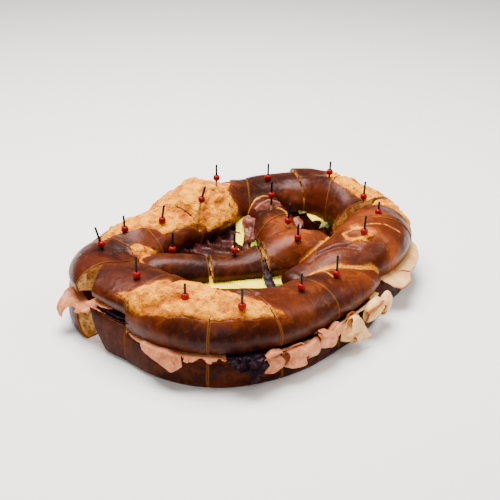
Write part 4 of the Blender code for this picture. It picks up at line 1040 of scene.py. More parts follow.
def torn_share(name, grid, x, y, rise):
    """Mask of torn crust: ragged seams at the height where a rope meets another, and thin tears."""
    torn = np.zeros(x.shape)
    for piece, stretch, width, strength in SEAMS:
        if piece == name:
            rope, low, high = SEAM_ROPES[stretch]
            gap = grid[..., 2] - ROPES[rope].height_over(grid[..., 0], grid[..., 1], low, high)
            ragged = width * (1.0 + 0.7 * noise(grid, 6.0, 4.0))
            seam = strength * np.exp(-(gap / np.maximum(ragged, 0.4)) ** 2) * (rise > 0.02)
            torn = np.maximum(torn, seam)
    for path, width in TEARS:
        across = path_distance(x, y, path) + 0.5 * noise(grid, 5.0, 6.6)
        torn = np.maximum(torn, np.exp(-(across / width) ** 2) * (rise > 0.3))
    return torn


def skin_relief(grid, stations, shares, depth):
    """Relief of whole crust: slow and quick waves, a lip along each burst, and, in slow patches,
    fine wrinkles drawn out along the rope."""
    height, distance, width = BURST_LIP
    skin = waves(grid, SKIN_WAVES) + height * np.exp(-((depth + distance) / width) ** 2)
    around = np.broadcast_to(WRINKLE_WIDTH * shares, stations.shape)
    drawn_out = np.stack([stations / WRINKLE_STRETCH, around, np.zeros(stations.shape)], axis=2)
    wrinkles = WRINKLE_HEIGHT * noise(drawn_out, WRINKLE_LENGTH, 6.0)
    return skin + wrinkles * ease(rough(grid, WRINKLE_PATCH, 2, 8.0), 0.0, 0.6)


def dough_relief(grid, x, y, depth):
    """Relief of burst dough, and a mask of painted shade in its low lumps and narrow creases: a groove along
    its border and a rise towards its middle, with ridged lumps of three sizes, fine grain and pits."""
    opened = -1.1 * np.exp(-(depth / 1.2) ** 2) + 1.3 * ease(depth, 0.5, 14.0)
    lumps = waves(grid, DOUGH_WAVES)
    for height, level, length, shift in DOUGH_RIDGES:
        lumps = lumps + height * (level - np.abs(noise(grid, length, shift)))
    opened += lumps + waves(grid, DOUGH_GRAIN) - pits(grid)
    return opened, 0.85 * np.maximum(ease(-lumps, 0.0, 1.7), ease(fold_depth(x, y), 0.8, 3.2))


def crust_heart(cut, rim, kept):
    """Middle of an end of a top half: the pole of a loose end, or, at a cut, the middle of the arch's
    rim, lowered to a share of its height and moved back onto the knife's plane."""
    if not cut:
        return rim.mean(axis=0)
    heart = rim[:CRUST_COLUMNS].mean(axis=0)
    heart[2] = SEAT_HEIGHT + HEART_SHARE * (rim[:, 2].max() - SEAT_HEIGHT)
    away = knife_normal(cut, kept)
    heart[:2] -= away * ((heart - rim[0])[:2] @ away)
    return heart


def cut_line(from_cut, shape):
    """Mask of the thin line of crust next to a cut."""
    return np.broadcast_to(np.exp(-(from_cut / RIM_WIDTH) ** 2)[:, None], shape)


def crust_top(name, number, rope_name, start_cut, end_cut, lift, grow, finish):
    """The crusty top half of one portion: squared arches along the rope, burst where it tore open,
    with lumps and wrinkles, rounded rims at the knife cuts and open crumb on them. Lifts, tilts,
    lobes and creases are added to its height in proportion to the arch's own rise."""
    rope = ROPES[rope_name]
    shares, rise, seat = crust_section()
    stations, from_cut = lengthwise(rope, shares, start_cut, end_cut, grow, SECOND_KNIFE.get(name))
    rows, _, outward = rope.at(stations)
    along = (stations - stations.min()) / np.ptp(stations)
    round_in = CUT_ROUNDING * np.clip(1.0 - from_cut / CUT_EDGE[-1], 0.0, 1.0)[:, None] ** 2
    half = np.maximum(rows[..., 2] + grow * (rows[..., 2] > 3.0) - round_in, SMALLEST_HALF)
    least_height = LEAST_CROWN * np.minimum(1.0, rows[..., 2] / LEAST_CROWN)
    height = np.maximum(rows[..., 3] - SEAT_HEIGHT + grow, least_height) - round_in
    first, last = INNER_SHIFTS.get(name, (0.0, 0.0))
    pressed = (first * (1.0 - along) ** 2 + last * along ** 2) * np.clip(-shares, 0.0, 1.0)
    plan = rows[..., :2] + outward * (half * shares + pressed)[..., None]
    x, y = plan[..., 0], plan[..., 1]
    raised = edge_lift(name, stations, shares)
    level = SEAT_HEIGHT + raised + lift * np.minimum(1.0, 4.0 * rise) + (height - raised) * rise
    level = level + TILTS.get(name, 0.0) * (1.0 - along) * shares * rise
    level = level - END_DROPS.get(name, 0.0) * along ** 5 * rise
    level = level + (swell(x, y) + carved(x, y)) * rise
    grid = np.concatenate([plan, level[..., None]], axis=2)
    normal = outward_normals(grid)
    grid = bulged(grid, normal, rise)

    depth = burst_depth(grid, x, y)
    burst = ease(depth, -0.3, 0.7) * (rise > 0.05)
    torn = torn_share(name, grid, x, y, rise)
    warm = sum(amount * bell(x, y, *place) for *place, amount in WARM)
    warm = np.clip(warm + 0.25 * np.exp(-((depth + 1.0) / 3.0) ** 2) * (depth < 0.0), 0.0, 1.0)
    skin = skin_relief(grid, stations, shares, depth)
    opened, hollow_shade = dough_relief(grid, x, y, depth)
    relief = skin * (1.0 - burst) + opened * burst + torn * (0.4 + 0.7 * rough(grid, 4.0, 2, 5.0))
    fade = np.minimum(1.0, 2.5 * rise) * ease(rows[..., 2], 0.5, 6.0)
    grid = grid + normal * (relief * fade)[..., None]

    kept = grid[len(grid) // 2, :, :2].mean(axis=0)
    hearts = [crust_heart(start_cut, grid[0], kept), crust_heart(end_cut, grid[-1], kept)]
    # The edge mask: browned dough along a burst's border, and painted shade in its low lumps and narrow
    # creases.
    masks = {
        "burst": burst, "edge": np.maximum(np.exp(-np.maximum(depth, 0.0) / 3.0), hollow_shade),
        "rim": cut_line(from_cut, burst.shape), "seat": np.broadcast_to(seat, burst.shape),
        "torn": np.clip(torn, 0.0, 1.0), "warm": warm,
    }
    return bread_piece(name, ["portion_%02d_top" % number], finish, grid, (start_cut, end_cut),
                       hearts, masks, 100 + number)


def smooth_profile(points, count):
    """Evenly spaced points on a smooth curve through rows of share and rise."""
    curve = through(points, PROFILE_STEPS)
    run = np.concatenate([[0.0], np.cumsum(np.linalg.norm(np.diff(curve, axis=0), axis=1))])
    even = np.linspace(0.0, run[-1], count)
    return np.stack([np.interp(even, run, column) for column in curve.T], axis=1)


def base_section(name):
    """Round a bottom half's section, shares of the half width and of the height: the outer side, the
    flat base, the inner side and the level cut face."""
    outer = smooth_profile(PRESSED_SIDE if name in PRESSED else BASE_SIDE, SIDE_COLUMNS)
    inner = smooth_profile(BASE_SIDE, SIDE_COLUMNS) * (-1, 1)
    foot = np.linspace(BASE_SIDE[-1][0], -BASE_SIDE[-1][0], FOOT_COLUMNS + 2)[1:-1]
    face = np.linspace(inner[0, 0], outer[0, 0], FACE_COLUMNS + 2)[1:-1]
    shares = np.concatenate([outer[:, 0], foot, inner[::-1, 0], face])
    rise = np.concatenate([outer[:, 1], np.zeros(FOOT_COLUMNS), inner[::-1, 1], np.ones(FACE_COLUMNS)])
    return shares, rise


def bread_base(name, node, rope_name, start_cut, end_cut, top_height, finish):
    """The bottom half of one portion: rounded sides, a flat base and a level cut face of crumb. Its
    ends slant by the cube of the way along it, the more so towards the foot."""
    rope = ROPES[rope_name]
    shares, rise = base_section(name)
    stations, from_cut = lengthwise(rope, shares, start_cut, end_cut, 0.0)
    along = (stations - stations[0]) / (stations[-1] - stations[0])
    slant = END_SLANTS.get(name, 0.0) * along ** 3 + START_SLANTS.get(name, 0.0) * (1.0 - along) ** 3
    stations = stations - slant * (1.0 - rise)
    rows, _, outward = rope.at(stations)
    round_in = BASE_ROUNDING * np.clip(1.0 - from_cut / CUT_EDGE[-1], 0.0, 1.0)[:, None] ** 2
    half = np.maximum(rows[..., 2] - round_in, SMALLEST_HALF)
    plan = rows[..., :2] + outward * (half * shares)[..., None]
    level = rise * (top_height + edge_lift(name, stations, shares))
    grid = np.concatenate([plan, level[..., None]], axis=2)
    normal = outward_normals(grid)
    face = (rise > 0.999).astype(float)
    side_fade = np.clip(8.0 * rise * (1.0 - rise) + 0.15, 0.0, 1.0) * (rise > 0.02)
    crumb = waves(grid, SEAT_WAVES) - SEAT_SINK
    relief = np.where(face > 0.5, crumb, waves(grid, BASE_WAVES) * side_fade)
    relief = relief * ease(rows[..., 2], 0.5, 6.0)
    grid = grid + normal * relief[..., None]
    grid[..., 2] = np.maximum(grid[..., 2], 0.0)
    hearts = [grid[0].mean(axis=0), grid[-1].mean(axis=0)]
    none = np.zeros(grid.shape[:2])
    masks = {"burst": none, "edge": none, "rim": cut_line(from_cut, none.shape),
             "seat": np.broadcast_to(face, none.shape), "torn": none, "warm": none}
    return bread_piece(name, [node], finish, grid, (start_cut, end_cut), hearts, masks,
                       300 + int(name[-2:]))


def spline_matrix(count, rows):
    """Weights that carry evenly spaced control points to rows of places on a Catmull-Rom curve."""
    place = np.linspace(0.0, count - 1.0, rows)
    low = np.minimum(place.astype(int), count - 2)
    share = place - low
    weights = 0.5 * np.stack([-share + 2 * share ** 2 - share ** 3, 2 - 5 * share ** 2 + 3 * share ** 3,
                              share + 4 * share ** 2 - 3 * share ** 3, -share ** 2 + share ** 3])
    matrix = np.zeros((rows, count + 2))
    for step in range(4):
        matrix[np.arange(rows), low + step] += weights[step]
    matrix[:, 1] += 2 * matrix[:, 0]
    matrix[:, 2] -= matrix[:, 0]
    matrix[:, -2] += 2 * matrix[:, -1]
    matrix[:, -3] -= matrix[:, -1]
    return matrix[:, 1:-1]


def spline_grid(control, rows, columns):
    """A smooth surface through a grid of control points."""
    control = np.array(control, float)
    return np.einsum("ui,ijk,vj->uvk", spline_matrix(control.shape[0], rows), control,
                     spline_matrix(control.shape[1], columns))


def spline_between(places, knots, heights):
    """Eased interpolation between rows of place and height."""
    index = np.clip(np.searchsorted(knots, places, side="right") - 1, 0, len(knots) - 2)
    share = (places - knots[index]) / (knots[index + 1] - knots[index])
    share = share * share * (3.0 - 2.0 * share)
    return heights[index] * (1.0 - share) + heights[index + 1] * share


def beside_ring(grid):
    """Turn points of station, distance past the ring's outer side and height into plan and height."""
    rows, _, outward = ROPES["ring"].at(grid[..., 0])
    plan = rows[..., :2] + outward * (rows[..., 2] + grid[..., 1])[..., None]
    return np.concatenate([plan, grid[..., 2:]], axis=-1)


def slice_piece(name, node, finish, middle, thickness, rind=None):
    """A closed thin slice or leaf: its middle surface moved half a thickness along its normals both
    ways, and by less towards its border."""
    rows, columns = middle.shape[:2]
    from_border = np.minimum.outer(np.minimum(np.arange(rows), np.arange(rows)[::-1]),
                                   np.minimum(np.arange(columns), np.arange(columns)[::-1]))
    half = 0.5 * thickness * (0.45 + 0.55 * np.clip(from_border / 2.0, 0.0, 1.0))
    lift = normals_of(middle, False) * half[..., None]
    points = np.concatenate([(middle + lift).reshape(-1, 3), (middle - lift).reshape(-1, 3)])
    values = {} if rind is None else {"rind": np.tile(rind.ravel(), 2)}
    return make_piece(name, points, sheet_faces(rows, columns), [node], finish, values, 75.0)


def flap(edge, level, inset, ruffle, wave, seed):
    """Middle surface of a slice that lies between the bread halves and droops past their side.

    Each edge row holds a station, the reach past the side and the droop in degrees. In section the
    slice runs level to the side and then turns down evenly; along it, ruffles grow to the free edge.
    Also the share of the way to the free edge.
    """
    edge = np.array(edge, float)
    count = max(LEAST_FLAP_ROWS, int((edge[-1, 0] - edge[0, 0]) / FLAP_STEP))
    stations = np.linspace(edge[0, 0], edge[-1, 0], count)[:, None]
    reach, droop = [spline_between(stations, edge[:, 0], column) for column in edge.T[1:]]
    hidden = np.linspace(-inset, 0.0, HIDDEN_COLUMNS, endpoint=False)
    hidden = np.concatenate([hidden, np.zeros(FREE_COLUMNS)])
    share = np.concatenate([np.zeros(HIDDEN_COLUMNS), np.linspace(0.0, 1.0, FREE_COLUMNS)])
    lean = np.radians(np.maximum(droop, LEAST_DROOP))
    free = np.maximum(reach, LEAST_REACH)
    turn = lean * share
    past = hidden + np.minimum(reach, 0.0) + free / lean * np.sin(turn)
    drop = free / lean * (1.0 - np.cos(turn))
    growth = (share ** 1.4 + 0.05) * np.clip(free / 8.0, 0.25, 1.0)
    still = np.zeros(stations.shape)
    wander = noise(np.stack([stations, still, still + seed], axis=-1), wave * 1.7)
    phase = 2.0 * math.pi * stations / wave + 2.6 * wander + seed
    fold = ruffle * growth * np.sin(phase + 1.5 * growth)
    along = stations + 0.55 * ruffle * growth * np.sin(2.0 * phase + 0.8)
    grid = np.stack([along, past + fold * np.sin(turn), level - drop + fold * np.cos(turn)], axis=2)
    return beside_ring(grid), np.broadcast_to(share, past.shape)


def rolled_slice(station, past, height, half_length, half_depth, half_height, heading, lean, turns, start,
                 seed):
    """Middle surface of a rolled slice: a flattened spiral carried along its axis. Its radius falls
    evenly with turning, its ends are ragged, and one slow noise field crumples all its layers alike."""
    axis = np.linspace(-1.0, 1.0, ROLL_ROWS)[:, None]
    turning = np.linspace(0.0, 2.0 * math.pi * turns, int(ROLL_TURN_STEPS * turns))[None, :]
    radius = 1.0 - 0.5 * turning / (2.0 * math.pi * max(turns, 1.0))
    angle = turning + math.radians(start)
    waist = 1.0 - 0.22 * np.abs(axis) ** 3 + 0.07 * np.sin(2.3 * axis + seed)
    waves = 1.0 + 0.05 * np.sin(4.0 * angle + 1.7 * axis + seed)
    radius = radius * (waves + 0.03 * np.sin(9.0 * angle + 2.0 * seed))
    ragged = 1.0 + 0.16 * np.sin(angle * 1.3 + seed) + 0.05 * np.sin(3.0 * angle + 2.0 * seed)
    local = np.stack([axis * half_length * ragged, radius * waist * np.cos(angle) * half_depth,
                      radius * waist * np.sin(angle) * half_height], axis=2)
    crumple = np.stack([rough(local + 31.0 * seed, 13.0, 2, shift) for shift in (0.0, 5.3, 9.1)], axis=2)
    local = local + crumple * ROLL_CRUMPLE
    rows, tangents, outward = ROPES["ring"].at(np.array([float(station)]))
    tilt = Matrix.Rotation(math.radians(heading), 3, "Z") @ Matrix.Rotation(math.radians(lean), 3, "Y")
    local = local @ np.array(tilt).T
    side, along = np.append(outward[0], 0.0), np.append(tangents[0], 0.0)
    middle = np.append(rows[0, :2] + outward[0] * (rows[0, 2] + past), height)
    upright = np.array((0.0, 0.0, 1.0))
    return middle + local[..., :1] * along + local[..., 1:2] * side + local[..., 2:] * upright


def draped(control):
    """Middle surface of a draped slice: a smooth sheet through its rows, with small ripples that grow
    towards the free edge. Also the share of the way to that edge."""
    grid = beside_ring(spline_grid(control, *DRAPE_GRID))
    share = np.linspace(0.0, 1.0, DRAPE_GRID[0])[:, None]
    ripple = 1.1 * rough(grid, 9.0, 2, 6.0) * (0.3 + share)
    return grid + normals_of(grid, False) * ripple[..., None], np.broadcast_to(share, ripple.shape)


def cheese_slice(corners, seed):
    """Middle surface of a limp slice: its four corners blended evenly, with a slow sag."""
    first, second, third, fourth = np.array(corners, float)
    across = np.linspace(0.0, 1.0, CHEESE_STEPS)[None, :, None]
    along = np.linspace(0.0, 1.0, CHEESE_STEPS)[:, None, None]
    near_side = first * (1 - along) + second * along
    far_side = fourth * (1 - along) + third * along
    grid = near_side * (1 - across) + far_side * across
    grid[..., 2] += 0.22 * rough(grid, 30.0, 2, seed)
    return grid


def build_cheese(finish):
    """Limp cheese slices in the front hole and under the back crust."""
    for name, corners, seed in FRONT_CHEESE:
        middle = cheese_slice(corners, seed)
        slice_piece(name, "cheese_front", finish, middle, FRONT_CHEESE_THICKNESS)
    for name, corners, seed in BACK_CHEESE:
        middle = beside_ring(cheese_slice(corners, seed))
        slice_piece(name, "cheese_back", finish, middle, BACK_CHEESE_THICKNESS)


def build_raw_ham(finish):
    """Thin cured slices heaped in the middle hole: sharp folds, the ridges of 1 less the size of a
    sine over a warped slant, that fade out at the borders and right of a slanted line."""
    along, across = np.meshgrid(*[np.linspace(0.0, 1.0, steps) for steps in CURED_GRID], indexing="ij")
    x = CURED_X[0] + CURED_X[1] * along
    near = np.interp(x, *CURED_NEAR)
    y = near + (CURED_FAR - near) * across
    hole = np.clip((276.0 + 0.72 * (y - 193.0) - x) / 12.0, 0.0, 1.0) * np.sin(math.pi * across) ** 0.6
    flat = np.stack([x, y, np.zeros(x.shape)], axis=2)
    slant = along * CURED_FOLDS + 3.0 * across
    fold = 1.0 - np.abs(np.sin(slant + 2.4 * rough(flat, 26.0, 2, 3.0)))
    level = CURED_LEVEL + hole * (2.5 + 8.0 * fold ** 1.4 + 1.6 * rough(flat, 7.0, 2, 8.0))
    level = level + 4.5 * ease(across, 0.45, 1.0) * hole ** 0.3
    x = x + hole * 3.0 * np.sin(slant)
    middle = np.stack([x, y, level], axis=2)
    slice_piece("raw_ham_folds", "raw_ham", finish, middle, CURED_THICKNESS)


def build_fillings(finishes):
    """The slices, rolls and leaves between the bread halves."""
    for name, node, slot, level, inset, ruffle, wave, thickness, seed, edge in FLAPS:
        middle, share = flap(edge, level, inset, ruffle, wave, seed)
        rind = ease(share + 0.10 * noise(middle, 6.0, 2.0), 0.86, 0.97)
        slice_piece(name, node, finishes[slot], middle, thickness, rind)
    for name, node, slot, thickness, control in DRAPES:
        middle, share = draped(control)
        rind = ease(share + 0.05 * noise(middle, 5.0, 3.0), 0.90, 0.98)
        slice_piece(name, node, finishes[slot], middle, thickness, rind)
    for name, node, slot, *shape in ROLLS:
        middle = rolled_slice(*shape)
        rind = np.zeros(middle.shape[:2])
        rind[:, :RIND_COLUMNS] = 1.0
        slice_piece(name, node, finishes[slot], middle, ROLL_THICKNESS, rind)
    for name, node, slot, finish, thickness, ripple, length, control in PLACED:
        middle = spline_grid(control, *PLACED_GRID)
        crumple = 0.5 * ripple * rough(middle, length, 2, 4.0)
        middle = middle + normals_of(middle, False) * crumple[..., None]
        slice_piece(name, node, finishes[finish], middle, thickness, np.zeros(crumple.shape))
    build_cheese(finishes["cheese"])
    build_raw_ham(finishes["raw_ham"])


def add_node(tree, kind, inputs=None, **settings):
    """A shader node with its settings, and each named input linked to a socket or set to a value."""
    made = tree.nodes.new(kind)
    for label, value in settings.items():
        setattr(made, label, value)
    for label, value in (inputs or {}).items():
        if isinstance(value, bpy.types.NodeSocket):
            tree.links.new(value, made.inputs[label])
        else:
            made.inputs[label].default_value = value
    return made


def mixed(tree, share, first, second):
    """One colour laid over another by a share."""
    made = add_node(tree, "ShaderNodeMix", data_type="RGBA")
    for index, value in ((0, share), (6, first), (7, second)):
        if isinstance(value, bpy.types.NodeSocket):
            tree.links.new(value, made.inputs[index])
        else:
            made.inputs[index].default_value = value if index == 0 else tuple(value) + (1.0,)
    return made.outputs[2]


def maths(tree, operation, first, second=0.0, clamp=False):
    """Arithmetic on two values."""
    made = add_node(tree, "ShaderNodeMath", {0: first, 1: second}, operation=operation, use_clamp=clamp)
    return made.outputs[0]


def times(tree, first, second):
    """Product of two values."""
    return maths(tree, "MULTIPLY", first, second)


def ramp_value(tree, value, low, high):
    """Clamped straight rise from 0 at low to 1 at high."""
    made = add_node(tree, "ShaderNodeMapRange", {"Value": value, "From Min": low, "From Max": high})
    return made.outputs[0]


def attribute(tree, label):
    """A value stored on the mesh's points."""
    return add_node(tree, "ShaderNodeAttribute", attribute_name=label).outputs["Fac"]


def grain(tree, vector, scale, detail=3.0, roughness=0.5, distortion=0.0):
    """Fractal noise round 0.5 at a scale per metre."""
    made = add_node(tree, "ShaderNodeTexNoise", {"Vector": vector, "Scale": scale, "Detail": detail,
                                                 "Roughness": roughness, "Distortion": distortion})
    return made.outputs["Fac"]


def new_group(name, outputs, inputs=()):
    """A node group with float inputs and the named outputs, and its input and output nodes."""
    group = bpy.data.node_groups.new(name, "ShaderNodeTree")
    for label, value in inputs:
        socket = group.interface.new_socket(label, in_out="INPUT", socket_type="NodeSocketFloat")
        socket.default_value = value
    for label, kind in outputs:
        group.interface.new_socket(label, in_out="OUTPUT", socket_type=kind)
    return group, group.nodes.new("NodeGroupInput"), group.nodes.new("NodeGroupOutput")


def new_finish(name, roughness, **settings):
    """A material with its Principled shader's own sockets set, and its Object coordinates."""
    finish = bpy.data.materials.new(name)
    finish.use_nodes = True
    tree = finish.node_tree
    shader = tree.nodes["Principled BSDF"]
    shader.inputs["Roughness"].default_value = roughness
    for label, value in settings.items():
        shader.inputs[label.replace("_", " ")].default_value = value
    return finish, tree, shader, add_node(tree, "ShaderNodeTexCoord").outputs["Object"]


def surface(tree, shader, colour, height, strength, distance):
    """Give a shader its colour and a bump."""
    tree.links.new(colour, shader.inputs["Base Color"])
    bump = add_node(tree, "ShaderNodeBump", {"Height": height, "Strength": strength, "Distance": distance})
    tree.links.new(bump.outputs["Normal"], shader.inputs["Normal"])


def crumb_group():
    """Open bread crumb: cream, painted brown shade in its bubbles of two sizes, and fine grain."""
    group, _, out = new_group("open_crumb", (("Color", "NodeSocketColor"), ("Height", "NodeSocketFloat")))
    place = add_node(group, "ShaderNodeTexCoord").outputs["Object"]
    warp = add_node(group, "ShaderNodeTexNoise", {"Vector": place, "Scale": 220.0, "Detail": 2.0})
    shifted = add_node(group, "ShaderNodeVectorMath", {0: warp.outputs["Color"], 1: (0.0035, 0.0035, 0.0035)},
                       operation="MULTIPLY")
    bent = add_node(group, "ShaderNodeVectorMath", {0: place, 1: shifted.outputs[0]}, operation="ADD")
    large, small = [add_node(group, "ShaderNodeTexVoronoi", {"Vector": bent.outputs[0], "Scale": scale})
                    for scale in (260.0, 620.0)]
    holes = maths(group, "MINIMUM", ramp_value(group, large.outputs["Distance"], 0.12, 0.42),
                  ramp_value(group, small.outputs["Distance"], 0.05, 0.35))
    tone = mixed(group, ramp_value(group, grain(group, place, 90.0), 0.35, 0.7), *CRUMB)
    height = maths(group, "ADD", holes, times(group, grain(group, place, 1500.0, 2.0), 0.3))
    # Bubble hollows take a painted brown shade.
    group.links.new(mixed(group, holes, CRUMB_HOLE_SHADE, tone), out.inputs["Color"])
    group.links.new(height, out.inputs["Height"])
    return group


def crust_group():
    """Lye crust: deep mahogany, redder in slow clouds and orange where it baked lighter, with faint
    freckles, and fine skin relief."""
    group, source, out = new_group("lye_crust", (("Color", "NodeSocketColor"), ("Height", "NodeSocketFloat"),
                                                 ("Roughness", "NodeSocketFloat")), (("Warm", 0.0),))
    place = add_node(group, "ShaderNodeTexCoord").outputs["Object"]
    baked = source.outputs["Warm"]
    patch = grain(group, place, 42.0, 4.0)
    dark = mixed(group, ramp_value(group, grain(group, place, 16.0, 3.0, 0.45), 0.40, 0.62), *CRUST_DARK)
    worn = times(group, ramp_value(group, patch, 0.50, 0.76), 0.22)
    worn = maths(group, "ADD", worn, times(group, baked, ramp_value(group, patch, 0.22, 0.60)), True)
    colour = mixed(group, worn, dark, CRUST_WARM)
    streak = ramp_value(group, grain(group, place, 75.0, 5.0, 0.6, 1.4), 0.52, 0.66)
    streak = times(group, streak, maths(group, "ADD", 0.08, times(group, baked, 0.55)))
    colour = mixed(group, streak, colour, CRUST_STREAK)
    freckle = times(group, ramp_value(group, grain(group, place, 240.0, 4.0, 0.6), 0.56, 0.80), 0.18)
    colour = mixed(group, freckle, colour, CRUST_FRECKLE)
    dull = maths(group, "ADD", 0.20, times(group, grain(group, place, 48.0), 0.30))
    height = maths(group, "ADD", times(group, grain(group, place, 230.0, 4.0), 0.7),
                   times(group, grain(group, place, 900.0, 2.0), 0.25))
    height = maths(group, "ADD", height, times(group, grain(group, place, 90.0, 4.0, 0.6, 1.2), 1.6))
    for label, value in (("Color", colour), ("Height", height), ("Roughness", dull)):
        group.links.new(value, out.inputs[label])
    return group


def bread_finish(name, crust, crumb, gloss):
    """Crust, burst dough and cut crumb in one material, told apart by the masks on the mesh."""
    finish, tree, shader, place = new_finish(name, 0.4, Specular_IOR_Level=gloss, Specular_Tint=CRUST_TINT)
    crust_out = add_node(tree, "ShaderNodeGroup", {"Warm": attribute(tree, "warm")}, node_tree=crust).outputs
    crumb_out = add_node(tree, "ShaderNodeGroup", node_tree=crumb).outputs
    burst, torn, rim, cut = [attribute(tree, label) for label in ("burst", "torn", "rim", "crumb")]
    flake = grain(tree, place, 95.0, 5.0, 0.62)
    fine = grain(tree, place, 420.0, 4.0, 0.65)
    golden = mixed(tree, ramp_value(tree, flake, 0.40, 0.60), *DOUGH)
    golden = mixed(tree, times(tree, ramp_value(tree, fine, 0.5, 0.68), 0.50), golden, DOUGH_LIGHT)
    # Painted shade where the fine noise sinks the dough's bump.
    golden = mixed(tree, times(tree, ramp_value(tree, fine, 0.46, 0.34), 0.65), golden, DOUGH_PIT_SHADE)
    # Browned border of the burst dough, and painted shade in its low lumps and narrow creases.
    golden = mixed(tree, times(tree, attribute(tree, "edge"), 0.75), golden, DOUGH_BROWNED_EDGE_AND_HOLLOW_SHADE)
    base = mixed(tree, burst, crust_out["Color"], golden)
    base = mixed(tree, torn, base, mixed(tree, ramp_value(tree, fine, 0.35, 0.7), *TORN_SEAM))
    base = mixed(tree, times(tree, rim, 0.35), base, mixed(tree, burst, *CUT_RIM))

    shell = ramp_value(tree, maths(tree, "ADD", attribute(tree, "inward"), times(tree, fine, 0.6)), 1.0, 2.8)
    face = mixed(tree, shell, mixed(tree, burst, *CUT_SHELL), crumb_out["Color"])
    shade = times(tree, ramp_value(tree, attribute(tree, "sink"), 0.9, 2.8), 0.6)
    base = mixed(tree, cut, base, mixed(tree, shade, face, PORE_SHADE))

    opened = maths(tree, "MAXIMUM", burst, torn)
    opened = maths(tree, "MAXIMUM", opened, maths(tree, "MAXIMUM", cut, rim), True)
    dull = add_node(tree, "ShaderNodeMix", {0: opened, 2: crust_out["Roughness"], 3: 0.85}).outputs[0]
    tree.links.new(dull, shader.inputs["Roughness"])
    height = add_node(tree, "ShaderNodeMix", {0: opened, 2: times(tree, crust_out["Height"], 0.4),
                                              3: crumb_out["Height"]}).outputs[0]
    dough = maths(tree, "ADD", times(tree, flake, 9.0), times(tree, fine, 4.0))
    height = add_node(tree, "ShaderNodeMix", {0: times(tree, burst, maths(tree, "SUBTRACT", 1.0, cut)),
                                              2: height, 3: dough}).outputs[0]
    surface(tree, shader, base, height, 0.6, 0.0009)
    return finish


def pick_finish():
    """Satin red bead, black dyed stem and bare bamboo below it."""
    finish, tree, shader, place = new_finish("painted_pick", 0.3, Specular_IOR_Level=0.12)
    streak = add_node(tree, "ShaderNodeMapping", {"Vector": place, "Scale": (900.0, 900.0, 60.0)}).outputs[0]
    fibre = grain(tree, streak, 1.0)
    colour = mixed(tree, attribute(tree, "black"), mixed(tree, fibre, *BAMBOO), BLACK_DYE)
    red = mixed(tree, grain(tree, place, 900.0, 2.0), *RED_PAINT)
    surface(tree, shader, mixed(tree, attribute(tree, "bead"), colour, red), fibre, 0.15, 0.0002)
    return finish


def meat_finish(name, pale, deep, streak, rind, roughness):
    """Moist sliced meat: slow colour change, fine fibres, paler or browner streaks and a rind."""
    finish, tree, shader, place = new_finish(
        name, roughness, Specular_IOR_Level=0.2, Subsurface_Weight=0.12,
        Subsurface_Radius=(1.0, 0.45, 0.3), Subsurface_Scale=0.004)
    slow = grain(tree, place, 60.0, 3.0, 0.5, 0.5)
    fibre = grain(tree, place, 420.0, 3.0, 0.6, 1.0)
    colour = mixed(tree, ramp_value(tree, slow, 0.35, 0.65), pale, deep)
    colour = mixed(tree, times(tree, ramp_value(tree, fibre, 0.5, 0.72), 0.45), colour, streak)
    height = maths(tree, "ADD", times(tree, slow, 0.6), times(tree, fibre, 0.25))
    surface(tree, shader, mixed(tree, attribute(tree, "rind"), colour, rind), height, 0.5, 0.001)
    return finish


def cheese_finish():
    """Soft yellow cheese with a faint marbling and small pits."""
    finish, tree, shader, place = new_finish(
        "young_cheese", 0.5, Specular_IOR_Level=0.2, Subsurface_Weight=0.15,
        Subsurface_Radius=(1.0, 0.8, 0.3), Subsurface_Scale=0.004)
    colour = mixed(tree, ramp_value(tree, grain(tree, place, 45.0), 0.35, 0.65), *CHEESE)
    surface(tree, shader, colour, grain(tree, place, 500.0), 0.2, 0.0004)
    return finish


def leaf_finish(name, deep, light, roughness):
    """Lettuce: a wet blade with lighter patches and blisters."""
    finish, tree, shader, place = new_finish(name, roughness, Specular_IOR_Level=0.06)
    blister = add_node(tree, "ShaderNodeTexVoronoi", {"Vector": place, "Scale": 260.0},
                       feature="DISTANCE_TO_EDGE").outputs["Distance"]
    colour = mixed(tree, ramp_value(tree, grain(tree, place, 90.0, 4.0), 0.40, 0.68), deep, light)
    surface(tree, shader, colour, blister, 0.45, 0.0010)
    return finish


